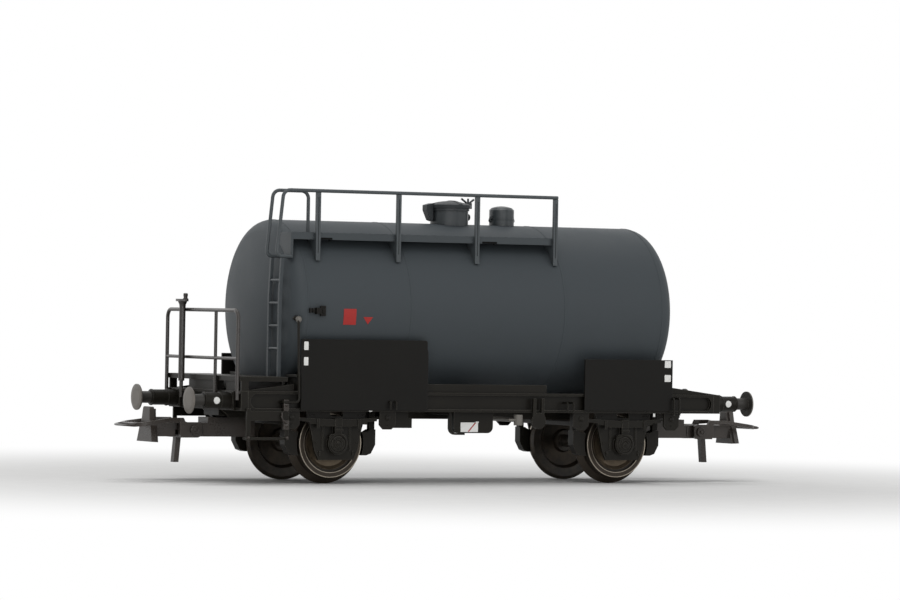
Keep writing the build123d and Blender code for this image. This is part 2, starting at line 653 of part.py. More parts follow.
def make_underframe(tank, hangers):
    """Solebars, headstocks, sills, cross members, saddles, cradle strips and end gussets."""
    half = HEADSTOCK_BACK
    low, high = SOLEBAR_BOTTOM + FLANGE_THICKNESS, SOLEBAR_TOP - FLANGE_THICKNESS
    bar = block((-half, half), (-FRAME_HALF_WIDTH, -SOLEBAR_INNER), (SOLEBAR_BOTTOM, SOLEBAR_TOP))
    slot = SlotOverall(2 * half - 2 * FLANGE_THICKNESS, high - low)
    floor = -FRAME_HALF_WIDTH + SOLEBAR_RECESS
    solebar = bar - Pos(0, 0, (low + high) / 2) * side_plate(slot, (-FRAME_HALF_WIDTH, floor))
    keep("solebar_near", solebar)
    keep("solebar_far", turned(solebar))

    sides = (-FRAME_HALF_WIDTH, FRAME_HALF_WIDTH)
    stock = block((-HEADSTOCK_FACE, -HEADSTOCK_BACK), sides, (SOLEBAR_BOTTOM, SOLEBAR_TOP))
    inside = (sides[0] + FLANGE_THICKNESS, sides[1] - FLANGE_THICKNESS)
    stock -= block((-HEADSTOCK_FACE, -HEADSTOCK_FACE + HEADSTOCK_RECESS), inside, (low, high))
    keep("headstock_left", stock)
    keep("headstock_right", turned(stock))

    right = [(half - SILL_TAPER, SILL_BOTTOM), (half, SOLEBAR_BOTTOM), (half, SILL_TOP)]
    sill = side_plate(face(mirrored(right)), (SILL_INNER, SILL_OUTER))
    keep("centre_sills", sill, across(sill))

    members = []
    bottom = SILL_TOP - CROSS_MEMBER_DEPTH
    for x in (-CROSS_MEMBER_SPACING, 0, CROSS_MEMBER_SPACING, *hangers):
        for y in ((-SOLEBAR_INNER, -SILL_OUTER), (-SILL_INNER, SILL_INNER), (SILL_OUTER, SOLEBAR_INNER)):
            members.append(block(around(x, CROSS_MEMBER_THICKNESS), y, (bottom, SILL_TOP)))
    keep("cross_members", *members)

    place = SHELL_HALF + SADDLE_OVERHANG
    inner = (-SOLEBAR_INNER, SOLEBAR_INNER)
    top = TANK_AXIS - TANK_RADIUS + SADDLE_REACH
    saddle = block(around(place, SADDLE_THICKNESS), inner, (SILL_TOP, top))
    web = (SADDLE_THICKNESS - SADDLE_WEB) / 2
    for x in (place - SADDLE_THICKNESS / 2, place + SADDLE_THICKNESS / 2 - web):
        for y in ((-SOLEBAR_INNER, -SILL_OUTER), (SILL_OUTER, SOLEBAR_INNER)):
            saddle -= block((x, x + web), y, (SOLEBAR_TOP, top - FLANGE_THICKNESS))
    saddle = main_part(saddle - tank)
    keep("saddle_right", saddle)
    keep("saddle_left", turned(saddle))

    row = (-SOLEBAR_INNER - CRADLE_THICKNESS, -SOLEBAR_INNER)
    length = (-CRADLE_HALF_LENGTH, CRADLE_HALF_LENGTH)
    strip = block(length, row, (SOLEBAR_TOP, SOLEBAR_TOP + CRADLE_HEIGHT))
    keep("cradle_strips", strip, turned(strip))
    outer = HEADSTOCK_FACE - GUSSET_INSET
    tall = GUSSET_LENGTH - outer
    corners = [(-outer, SOLEBAR_TOP), (tall, SOLEBAR_TOP), (tall, SOLEBAR_TOP + GUSSET_HEIGHT)]
    taper = side_plate(face(corners), row)
    keep("end_gussets", taper, across(taper), turned(taper), turned(across(taper)))


def make_brake_fittings():
    """Small box, changeover box with its strap, release valve, pull disc and solebar hooks."""
    side = -FRAME_HALF_WIDTH
    size = SMALL_BOX
    deep = (side + size["back"], side + size["back"] + FITTING_DEPTH)
    box = block((size["low"], size["high"]), deep, (size["bottom"], size["top"]))
    stem = (size["low"] + FITTING_DEPTH / 2, size["high"] - FITTING_DEPTH / 2)
    box += block(stem, deep, (size["top"], SOLEBAR_BOTTOM))
    arm = (deep[1] - GUARD_THICKNESS, -SILL_OUTER)
    box += block(around(sum(stem) / 2, FITTING_DEPTH), arm, (size["top"], SOLEBAR_BOTTOM))
    keep("equipment_box", box)

    size = CHANGEOVER_BOX
    deep = (side + size["back"], side + size["back"] + FITTING_DEPTH)
    low, high = size["low"], size["high"]
    bottom = size["bottom"]
    body = face([(low, bottom), (high, bottom), (high, SOLEBAR_BOTTOM), (low, SOLEBAR_BOTTOM)])
    body = fillet(body.vertices().sort_by(Axis.Y)[:2], BOX_CORNER)
    box = side_plate(body, deep)
    left = low - STRAP_OFFSET
    under = bottom - STRAP_THICKNESS / 2
    outer = FilletPolyline(
        (left, SOLEBAR_BOTTOM), (left, under), (low + 2 * BOX_CORNER, under), radius=BOX_CORNER)
    strap = trace(outer, STRAP_THICKNESS)
    box += side_plate(strap, (deep[0], deep[0] + FITTING_DEPTH / 2))
    arm = (deep[1] - GUARD_THICKNESS, -SILL_OUTER)
    box += block((left, high), arm, (SOLEBAR_BOTTOM - FITTING_ARM, SOLEBAR_BOTTOM))
    keep("changeover_box", box)

    size = VALVE
    front = side + size["radius"] / 2
    x, middle = size["x"], size["height"]
    valve = rod((x, front, middle), (x, -SILL_OUTER, middle), size["radius"] / 2)
    upright = around(middle, size["length"])
    valve += rod((x, front, upright[0]), (x, front, upright[1]), size["radius"])
    valve += rod((x, front, middle), (x - size["handle"], front - size["lever"], middle), size["lever"])
    keep("release_valve", valve)

    size = DISC
    front = (side - size["thickness"], side)
    x, middle = size["x"], size["height"]
    plate = rod((x, front[0], middle), (x, front[1], middle), size["radius"])
    for x in around(size["x"], size["spacing"]):
        strap = (middle, SOLEBAR_TOP - 2 * FLANGE_THICKNESS)
        plate += block(around(x, size["strap"]), front, strap)
    keep("pull_disc", plate)

    hooks = []
    for x, bottom, top, spacing, on_board in SOLEBAR_HOOKS:
        seat = side - BOARD_THICKNESS if on_board else side + SOLEBAR_RECESS
        out = side - BOARD_THICKNESS - HOOK_PROUD
        for place in around(x, spacing):
            run = [(place, seat, top), (place, out, top), (place, out, bottom)]
            hooks.append(bent_rod(run, 2 * HOOK_RADIUS, HOOK_RADIUS))
    keep("solebar_hooks", *hooks)


def make_boards(tank_room):
    """Blank lettering boards, proud of the solebar, the same on both sides by a half turn."""
    boards = []
    for low, high, bottom, top, radius in BOARDS.values():
        outline = face([(low, bottom), (high, bottom), (high, top), (low, top)])
        if radius:
            corner = outline.vertices().sort_by(Axis.Y)[-2:].sort_by(Axis.X)[-1]
            outline = fillet(corner, radius)
        plate = side_plate(outline, (-FRAME_HALF_WIDTH - BOARD_THICKNESS, -FRAME_HALF_WIDTH))
        boards.append(main_part(plate - tank_room))
    keep("boards_near", *boards)
    keep("boards_far", *[turned(board) for board in boards])


def make_platform():
    """Brakeman's deck on its bearers, railing and handbrake column at the left end."""
    outer = HEADSTOCK_FACE + RAILING_INSET
    inner = TANK_LENGTH / 2 - DECK_UNDERLAP
    deck = block((-outer, -inner), (-FRAME_HALF_WIDTH, FRAME_HALF_WIDTH), (DECK_BOTTOM, DECK_TOP))
    over = (-HEADSTOCK_FACE, -HEADSTOCK_BACK)
    height = (SOLEBAR_TOP, DECK_BOTTOM)
    for y in (-FRAME_HALF_WIDTH + DECK_LEG / 2, FRAME_HALF_WIDTH - DECK_LEG / 2):
        deck += block(over, around(y, DECK_LEG), height)
    for span in DECK_BEARERS:
        deck += block(over, span, height)
    deck += block((-inner - DECK_LEG, -inner), (-SOLEBAR_INNER, SOLEBAR_INNER), height)
    keep("platform_deck", deck)

    foot = SOLEBAR_TOP - RAILING_FOOT
    seat = (SOLEBAR_TOP - FLANGE_THICKNESS, SOLEBAR_TOP)
    corners = [
        (-RAILING_X, RAILING_Y, foot), (-RAILING_X, RAILING_Y, RAILING_TOP),
        (-RAILING_X, -RAILING_Y, RAILING_TOP), (-RAILING_X, -RAILING_Y, foot)]
    railing = bent_rod(corners, RAILING_BEND, RAIL_RADIUS)
    post = (-RAILING_X, RAILING_POST)
    railing += rod((*post, foot), (*post, RAILING_TOP), THIN_RAIL_RADIUS)
    bar = [(-RAILING_X, y, RAILING_MIDDLE) for y in (-RAILING_Y, RAILING_Y)]
    railing += rod(*bar, THIN_RAIL_RADIUS)
    for y in (-RAILING_Y, RAILING_POST, RAILING_Y):
        lug = around(y, THIN_RAIL_RADIUS)
        railing += block((-RAILING_X, -HEADSTOCK_FACE), lug, seat)
    keep("platform_railing", railing)

    x = -RAILING_X - RAIL_RADIUS - COLUMN_RADIUS
    top = RAILING_TOP + COLUMN_RISE
    leg = SOLEBAR_TOP + COLUMN_LEG_LENGTH
    column = rod((x, COLUMN_Y, leg), (x, COLUMN_Y, top), COLUMN_RADIUS)
    column += rod((x, COLUMN_Y, foot), (x, COLUMN_Y, leg), COLUMN_LEG_RADIUS)
    column += block((x, -HEADSTOCK_FACE), around(COLUMN_Y, 2 * COLUMN_LEG_RADIUS), seat)
    cone = Cone(COLUMN_RADIUS, CRANK_COLLAR["radius"], CRANK_COLLAR["height"])
    column += Pos(x, COLUMN_Y, top - CRANK_COLLAR["height"] / 2) * cone
    arm = (COLUMN_Y + CRANK_REACHES[1], COLUMN_Y + CRANK_REACHES[0])
    column += block(around(x, CRANK_WIDTH), arm, (top, top + CRANK_THICKNESS))
    grip = COLUMN_Y + CRANK_REACHES[1] + CRANK_HANDLE_RADIUS
    handle = top + CRANK_THICKNESS + CRANK_HANDLE_HEIGHT
    column += rod((x, grip, top), (x, grip, handle), CRANK_HANDLE_RADIUS)
    keep("brake_column", column)


def make_steps(tank):
    """Steps below the platform on each side, and the grab rod beside the near ones."""
    face_y = -FRAME_HALF_WIDTH
    front = face_y - STEP_THICKNESS
    top = SOLEBAR_BOTTOM + FLANGE_THICKNESS
    low, high = STEP_HANGERS
    steps = None
    for x in STEP_HANGERS:
        bar = block(around(x, STEP_HANGER_WIDTH), (front, face_y), (STEP_BOTTOM, top))
        steps = bar if steps is None else steps + bar
    tread = (front, front + STEP_TREAD_DEPTH)
    steps += block((low, high), tread, (STEP_BOTTOM, STEP_BOTTOM + STEP_TREAD_THICKNESS))
    steps += block((low, high), (front, face_y), (STEP_PANEL_BOTTOM, SOLEBAR_BOTTOM))
    keep("steps_near", steps)
    keep("steps_far", across(steps))

    y = -TANK_RADIUS - GRAB_STANDOFF + GRAB_RADIUS
    upper = TANK_AXIS - GRAB_DROP
    x_upper, x_middle, x_lower = GRAB_X
    run = [
        (x_upper, -TANK_RADIUS + KNUCKLE_RADIUS, upper), (x_upper, y, upper), (x_middle, y, GRAB_HEIGHT),
        (x_lower, y, GRAB_HEIGHT), (x_lower, face_y + SOLEBAR_RECESS, GRAB_HEIGHT)]
    grab = bent_rod(run, GRAB_BEND, GRAB_RADIUS)
    grab += Pos(x_upper, y + GRAB_BEND + GRAB_BULB_RADIUS, upper) * Sphere(GRAB_BULB_RADIUS)
    keep("grab_rods", main_part(grab - tank))


def make_walkway(tank):
    """Walkway beside the manway with its posts, rail, ladder and hoop."""
    low, high = WALKWAY_ENDS
    outer = -WALKWAY_OUTER
    inner = -WALKWAY_INNER + WALKWAY_THICKNESS
    deck = block((low, high), (outer, inner), (WALKWAY_TOP - WALKWAY_THICKNESS, WALKWAY_TOP))
    deck += block((low, high), (outer, outer + WALKWAY_LIP_THICKNESS), (WALKWAY_UNDER, WALKWAY_TOP))
    deck += block((low, low + WALKWAY_END_PLATE), (outer, -WALKWAY_INNER), (LADDER_TOP, WALKWAY_TOP))
    keep("walkway_deck", main_part(deck - tank))

    posts = []
    rail_y = outer - POST_DEPTH / 2
    meets = TANK_AXIS + sqrt(TANK_RADIUS**2 - WALKWAY_OUTER**2)
    for x in WALKWAY_POSTS:
        span = around(x, POST_WIDTH)
        foot = meets - POST_FOOT_OVERLAP
        front = outer - POST_DEPTH
        post = block(span, (front, outer), (foot, WALKWAY_RAIL_HEIGHT - WALKWAY_RAIL_RADIUS))
        groove = (meets + 2 * POST_DEPTH, WALKWAY_RAIL_HEIGHT - 2 * POST_DEPTH)
        post -= block(around(x, POST_GROOVE), (front, front + POST_GROOVE), groove)
        bracket = face([(outer, foot), (outer, WALKWAY_UNDER), (-WALKWAY_INNER, WALKWAY_UNDER)])
        posts.append(main_part(post + cross_plate(bracket, span) - tank))
    keep("walkway_posts", *posts)

    radius = WALKWAY_RAIL_RADIUS
    right = WALKWAY_POSTS[-1] + POST_WIDTH / 2
    left = low - RAIL_OVERRUN
    knee = LADDER_TOP - LADDER_KNEE_DROP
    lean = LADDER_LEAN / LADDER_KNEE_DROP
    far_y, near_y = (y + LADDER_LEAN for y in LADDER_RAILS)
    foot_x = LADDER_X - RAIL_FOOT_REACH
    foot_z = LADDER_TOP + radius
    bends = {"rail": (HOOP_BEND, RAIL_FOOT_BEND), "hoop": (HOOP_BEND, HOOP_BEND, RAIL_FOOT_BEND)}
    rail = [
        (right, rail_y, WALKWAY_RAIL_HEIGHT), (left, rail_y, WALKWAY_RAIL_HEIGHT),
        (foot_x, near_y, foot_z), (low, near_y, foot_z)]
    keep("walkway_rail", bent_rod(rail, bends["rail"], radius))
    hoop = [
        (low + HOOP_LENGTH, far_y, WALKWAY_TOP), (low + HOOP_LENGTH, far_y, WALKWAY_RAIL_HEIGHT),
        (left, far_y, WALKWAY_RAIL_HEIGHT), (foot_x, far_y, foot_z), (low, far_y, foot_z)]
    keep("ladder_hoop", bent_rod(hoop, bends["hoop"], radius) - tank)

    ladder = None
    half = STRINGER_WIDTH / 2
    for y in LADDER_RAILS:
        head = y + LADDER_LEAN
        outline = [
            (y - half, DECK_TOP), (y + half, DECK_TOP), (y + half, knee),
            (head + half, LADDER_TOP), (head - half, LADDER_TOP), (y - half, knee)]
        stringer = cross_plate(face(outline), around(LADDER_X, STRINGER_WIDTH))
        ladder = stringer if ladder is None else ladder + stringer
    count = int((LADDER_TOP - DECK_TOP - RUNG_FIRST) / RUNG_SPACING) + 1
    for rung in range(count):
        z = DECK_TOP + RUNG_FIRST + rung * RUNG_SPACING
        shift = max(0, z - knee) * lean
        ends = [(LADDER_X, y + shift, z) for y in LADDER_RAILS]
        ladder += rod(*ends, RUNG_RADIUS)
    keep("ladder", ladder)


def make_buffers():
    """Square plate, stepped case, shank and round head with a bevelled face, four times."""
    back = END - BUFFER_HEAD_THICKNESS
    rim = END - BUFFER_HEAD_CROWN
    case_end = HEADSTOCK_FACE + BUFFER_BASE_LENGTH + BUFFER_CASE_LENGTH
    outline = [
        (case_end, 0), (case_end, BUFFER_SHANK_RADIUS), (back, BUFFER_SHANK_RADIUS),
        (back, BUFFER_HEAD_RADIUS), (rim, BUFFER_HEAD_RADIUS), (END, BUFFER_FACE_RADIUS), (END, 0)]
    head = revolve(Plane.XZ * face(outline), Axis.X)
    plate = (HEADSTOCK_FACE, HEADSTOCK_FACE + BUFFER_PLATE_THICKNESS)
    side = around(0, BUFFER_PLATE_SIDE)
    case = block(plate, side, side)
    base_end = HEADSTOCK_FACE + BUFFER_BASE_LENGTH
    case += rod((HEADSTOCK_FACE, 0, 0), (base_end, 0, 0), BUFFER_BASE_RADIUS)
    case += rod((base_end, 0, 0), (case_end, 0, 0), BUFFER_CASE_RADIUS)
    for label, turn in (("left", 180), ("right", 0)):
        places = [Rot(0, 0, turn) * Pos(0, y, BUFFER_HEIGHT) for y in around(0, BUFFER_SPACING)]
        keep(f"buffer_cases_{label}", *[place * case for place in places])
        keep(f"buffer_heads_{label}", *[place * head for place in places])


def make_coupling_arm(name, turn):
    """Fixed mount, swinging arm with its socket, and the head with bumper plugged into it."""
    half = ARM_WIDTH / 2
    tail = ARM_INNER_END - MOUNT_TAIL
    mount = block((tail, HEADSTOCK_BACK), (-SILL_INNER, SILL_INNER), (MOUNT_BOTTOM, SOLEBAR_BOTTOM))
    hole = PIVOT_RADIUS + PIVOT_CLEARANCE
    mount -= rod((SWING_PIVOT, 0, MOUNT_BOTTOM), (SWING_PIVOT, 0, SOLEBAR_BOTTOM), hole)
    keep(f"coupling_mount_{name}", turn * mount)

    step = ARM_OUTER_END - ARM_NOSE
    outline = [
        (ARM_INNER_END, ARM_BOTTOM), (ARM_OUTER_END, ARM_BOTTOM), (ARM_OUTER_END, NECK_TOP),
        (step, NECK_TOP), (step, ARM_TOP), (ARM_INNER_END, ARM_TOP)]
    arm = side_plate(face(outline), (-half, half))
    pin_top = SOLEBAR_BOTTOM - PIVOT_CLEARANCE
    arm += rod((SWING_PIVOT, 0, ARM_TOP), (SWING_PIVOT, 0, pin_top), PIVOT_RADIUS)
    socket = (ARM_OUTER_END - SOCKET_LENGTH, ARM_OUTER_END)
    inside = (half - SOCKET_WALL, ARM_BOTTOM + SOCKET_WALL, NECK_TOP - SOCKET_WALL)
    plug = block(socket, (-inside[0], inside[0]), inside[1:])
    arm -= plug
    pivot = (BOW_PIVOT_PLACE, BOW_PIVOT_HEIGHT)
    clear = EAR_OUTER + BOW_PIN_CLEARANCE
    ends = [(pivot[0], y, pivot[1]) for y in (-clear - BOW_PIN_HEAD, -clear, -half)]
    pin = rod(ends[0], ends[2], BOW_PIN_RADIUS) + rod(ends[0], ends[1], BOW_PIN_HEAD_RADIUS)
    keep(f"coupling_arm_{name}", turn * (arm + pin + across(pin)))

    length = (ARM_OUTER_END, BUMPER_BACK + BUMPER_RIB)
    neck = block(length, (-NECK_HALF_WIDTH, NECK_HALF_WIDTH), (ARM_BOTTOM, NECK_TOP))
    slot = (BOW_PIVOT_PLACE + NECK_SLOT["low"], BOW_PIVOT_PLACE + NECK_SLOT["high"])
    neck -= block(slot, (-half, half), (ARM_BOTTOM, ARM_BOTTOM + NECK_SLOT["depth"]))
    front = face(mirrored(BUMPER_OUTLINE))
    front = fillet(front.vertices().sort_by(Axis.Y)[-2:], BUMPER_CORNER)
    inset = [(width - BUMPER_RIB_INSET, height) for width, height in BUMPER_OUTLINE]
    rib = (BUMPER_BACK, BUMPER_BACK + BUMPER_RIB)
    bumper = cross_plate(front, (rib[1], rib[1] + BUMPER_PLATE))
    back = face(mirrored([*inset[:-1], (inset[-1][0], inset[-1][1] - BUMPER_RIB_INSET)]))
    bumper += cross_plate(back, rib)
    hinge = Pos(BUMPER_BACK, 0, NECK_TOP)
    bumper = hinge * Rot(0, -BUMPER_LEAN, 0) * hinge.inverse() * bumper
    keep(f"coupling_head_{name}", turn * (plug + neck + bumper))


def make_coupling_bow(name, turn):
    """Lifting bow: a bent loop seen from above, with two ears, a bridge and a lifting finger."""
    pivot_x, pivot_z = BOW_PIVOT_PLACE, BOW_PIVOT_HEIGHT
    inner = pivot_x - EAR_LENGTHS["inner"]
    step, outer = pivot_x + EAR_LENGTHS["step"], pivot_x + EAR_LENGTHS["outer"]
    low = pivot_z - EAR_HEIGHT / 2
    top = pivot_z + EAR_HEIGHT / 2
    high = top + BOW_RISE
    profile = face([
        (inner, low), (outer, low), (outer, top), (BOW_SHOULDER, high - BOW_BAR),
        (BOW_TIP, high - BOW_TIP_DROP - BOW_BAR), (BOW_TIP, high - BOW_TIP_DROP), (BOW_SHOULDER, high),
        (step + BOW_RISE / 2, high), (step, top), (inner, top)])
    round_ones = profile.vertices().sort_by(Axis.Y)[:2] + profile.vertices().sort_by(Axis.X)[:2]
    profile = fillet(profile.vertices().filter_by(lambda v: v in round_ones), EAR_CORNER)
    side_view = side_plate(profile, (-BOW_WIDTH / 2, BOW_WIDTH / 2))

    half = BOW_WIDTH / 2
    outside = face([
        (inner, -EAR_OUTER), (outer, -EAR_OUTER), (BOW_TIP, -half), (BOW_TIP, half),
        (outer, EAR_OUTER), (inner, EAR_OUTER)])
    tip = BOW_TIP - BOW_BAR
    bar = EAR_THICKNESS
    inside = face([
        (inner - EAR_THICKNESS, -EAR_INNER), (outer, -EAR_INNER), (tip, bar - half), (tip, half - bar),
        (outer, EAR_INNER), (inner - EAR_THICKNESS, EAR_INNER)])
    outside = fillet(outside.vertices().sort_by(Axis.X)[-2:], BOW_CORNER)
    inside = fillet(inside.vertices().sort_by(Axis.X)[-2:], BOW_CORNER - BOW_BAR)
    plan = outside - inside
    bow = flat_plate(plan, (low, high)) & side_view
    hole = BOW_PIN_RADIUS + BOW_PIN_CLEARANCE
    bow -= rod((pivot_x, -EAR_OUTER, pivot_z), (pivot_x, EAR_OUTER, pivot_z), hole)
    span = (pivot_x + BRIDGE["low"], pivot_x + BRIDGE["high"])
    bow += block(span, (-EAR_OUTER, EAR_OUTER), (low, low + BRIDGE["thickness"]))
    start = sum(span) / 2 - FINGER_DEPTH / 2
    finger = face([
        (start, low), (start + FINGER_DEPTH, low), (start + FINGER_DEPTH + FINGER_LEAN, FINGER_BOTTOM),
        (start + FINGER_LEAN, FINGER_BOTTOM)])
    bow += side_plate(finger, around(0, FINGER_WIDTH))
    keep(f"coupling_bow_{name}", turn * bow)


tank = make_tank()
hangers = []
for name, x in (("left", -AXLE_X), ("right", AXLE_X)):
    make_wheelset(name, x)
    inwards = 1 if x < 0 else -1
    hangers.append(make_brake_beam(f"{name}_inner", x, inwards))
    hangers.append(make_brake_beam(f"{name}_outer", x, -inwards))
make_underframe(tank, hangers)
make_brake_fittings()
room = Pos(0, 0, TANK_AXIS) * Rot(0, 90, 0) * Cylinder(TANK_RADIUS + BOARD_GAP, TANK_LENGTH)
make_boards(room)
make_platform()
make_steps(tank)
make_walkway(tank)
make_buffers()
for label, side in (("near", -1), ("far", 1)):
    keep(f"axle_guards_{label}", axle_guard(-AXLE_X, side), axle_guard(AXLE_X, side))
    keep(f"leaf_springs_{label}", leaf_spring(-AXLE_X, side), leaf_spring(AXLE_X, side))
for label, angle in (("right", 0), ("left", 180)):
    make_coupling_arm(label, Rot(0, 0, angle))
    make_coupling_bow(label, Rot(0, 0, angle))

os.makedirs("parts", exist_ok=True)
for node, shape in pieces.items():
    export_step(Pos(0, 0, FLANGE_DEPTH) * shape, f"parts/{node}.step")
print(len(pieces), "nodes")
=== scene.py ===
import bpy
import json
from math import cos, pi, radians, sin, sqrt
from mathutils import Matrix, Vector


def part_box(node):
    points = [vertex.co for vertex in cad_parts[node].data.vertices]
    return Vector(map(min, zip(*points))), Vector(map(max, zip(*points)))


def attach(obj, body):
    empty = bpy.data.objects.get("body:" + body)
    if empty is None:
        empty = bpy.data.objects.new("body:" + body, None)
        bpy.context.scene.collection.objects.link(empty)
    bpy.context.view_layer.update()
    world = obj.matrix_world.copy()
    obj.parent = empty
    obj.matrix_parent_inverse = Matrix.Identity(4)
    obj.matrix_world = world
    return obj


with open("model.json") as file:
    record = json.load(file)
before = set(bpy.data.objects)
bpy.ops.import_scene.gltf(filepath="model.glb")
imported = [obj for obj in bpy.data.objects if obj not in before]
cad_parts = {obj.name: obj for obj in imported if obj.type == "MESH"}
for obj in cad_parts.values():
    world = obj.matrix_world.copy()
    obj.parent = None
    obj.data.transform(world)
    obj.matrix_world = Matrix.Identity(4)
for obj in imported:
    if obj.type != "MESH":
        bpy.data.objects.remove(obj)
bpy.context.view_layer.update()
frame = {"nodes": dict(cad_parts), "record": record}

# Looks of the scale model railway tank wagon, in metres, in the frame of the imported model.
# X runs along the wagon to the right of the picture, the walkway is on the -Y side, Z is up.

MM = 0.001
# Height of the rail top in the frame, in millimetres. The pieces' heights are counted from it.
LIFT = 1.0


def corners(node):
    """Lowest and highest corner of a CAD node, as two vectors."""
    low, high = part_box(node)
    return Vector(low), Vector(high)


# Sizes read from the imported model, in metres
TANK_LOW, TANK_HIGH = corners("tank")
TANK_RADIUS = (TANK_HIGH.y - TANK_LOW.y) / 2
TANK_AXIS = TANK_HIGH.z - TANK_RADIUS
WHEEL_LOW, WHEEL_HIGH = corners("wheels_left")
WHEEL_RADIUS = (WHEEL_HIGH.z - WHEEL_LOW.z) / 2
AXLE_X = {side: sum(corner.x for corner in corners("axle_" + side)) / 2
          for side in ("left", "right")}
AXLE_Z = WHEEL_LOW.z + WHEEL_RADIUS

# The same, in millimetres
BUFFER_FACE = corners("buffer_heads_right")[1].x / MM
TANK_Z = TANK_AXIS / MM - LIFT
AXLE = AXLE_Z / MM - LIFT
AXLES = (AXLE_X["left"] / MM, AXLE_X["right"] / MM)

# Wheel faces, in millimetres: radii of the tyre, the rim's inner edge and the disc, and Y bands
TYRE_EDGE = WHEEL_RADIUS / MM - 1.0
RIM_EDGE = TYRE_EDGE - 0.85
DISC_EDGE = RIM_EDGE - 0.45
WHEEL_FACE = WHEEL_HIGH.y / MM
GROOVE_SIDE = (WHEEL_FACE - 1.4, WHEEL_FACE - 1.2)
FACE_SIDE = (WHEEL_FACE - 0.3, WHEEL_FACE - 0.1)
BACK_SIDE = (WHEEL_FACE - 2.8, WHEEL_FACE - 2.3)

# Places that several pieces share, in millimetres
BUFFER_Y = 10.03
BUFFER_Z = 12.04
BOARD_FACE = 13.97

# Directions and mirror planes
ALONG, ACROSS = 0, 1
RIGHTWARD, LEFTWARD, UPWARD = (1, 0, 0), (-1, 0, 0), (0, 0, 1)
NEARWARD = (0, -1, 0)

# Camera, fitted to the photograph
CAMERA_PLACE = Vector((-352.25, -673.06, 27.95)) * MM
CAMERA_YAW = radians(27.636)
CAMERA_PITCH = radians(-0.102)
CAMERA_ROLL = radians(1.008)
CAMERA_LENS = 187.92
CAMERA_SENSOR = 36.0
CAMERA_CLIP = (0.01, 20.0)

# Light: name, place, width and height, watts, colour
LAMPS = (
    ("key", (-0.30, -0.50, 0.62), (0.55, 0.55), 1.8, (1.0, 0.99, 0.975)),
    ("fill", (0.55, -0.55, 0.25), (0.50, 0.50), 0.8, (0.97, 0.985, 1.0)),
    ("top", (0.05, 0.10, 0.75), (0.45, 0.45), 1.6, (1.0, 1.0, 1.0)),
    ("back", (-0.35, 0.55, 0.35), (0.50, 0.50), 0.8, (1.0, 1.0, 1.0)),
    ("low", (-0.30, -0.85, 0.06), (1.1, 0.10), 1.5, (1.0, 1.0, 1.0)),
)
LAMP_TARGET = Vector((0.0, 0.0, 0.022))
WORLD_STRENGTH = 0.26
WHITE = (1.0, 1.0, 1.0, 1.0)


def make_camera():
    forward = Vector((sin(CAMERA_YAW) * cos(CAMERA_PITCH),
                      cos(CAMERA_YAW) * cos(CAMERA_PITCH), -sin(CAMERA_PITCH)))
    right = Vector((cos(CAMERA_YAW), -sin(CAMERA_YAW), 0.0))
    up = right.cross(forward)
    rolled_right = right * cos(CAMERA_ROLL) + up * sin(CAMERA_ROLL)
    rolled_up = up * cos(CAMERA_ROLL) - right * sin(CAMERA_ROLL)
    data = bpy.data.cameras.new("camera")
    data.lens = CAMERA_LENS
    data.sensor_width = CAMERA_SENSOR
    data.clip_start, data.clip_end = CAMERA_CLIP
    camera = bpy.data.objects.new("camera", data)
    bpy.context.scene.collection.objects.link(camera)
    turn = Matrix((rolled_right, rolled_up, -forward)).transposed().to_4x4()
    camera.matrix_world = Matrix.Translation(CAMERA_PLACE) @ turn
    bpy.context.scene.camera = camera


def make_lamps():
    for name, place, (width, height), watts, colour in LAMPS:
        data = bpy.data.lights.new("lamp_" + name, "AREA")
        data.shape = "ELLIPSE" if width == height else "RECTANGLE"
        data.size, data.size_y = width, height
        data.energy = watts
        data.color = colour
        lamp = bpy.data.objects.new("lamp_" + name, data)
        bpy.context.scene.collection.objects.link(lamp)
        lamp.location = place
        aim = LAMP_TARGET - Vector(place)
        lamp.rotation_euler = aim.to_track_quat("-Z", "Y").to_euler()


# Noise keeps mostly between these two values
NOISE_SPAN = (0.3, 0.7)
# Height of the finest relief, in metres
RELIEF = 0.02 * MM


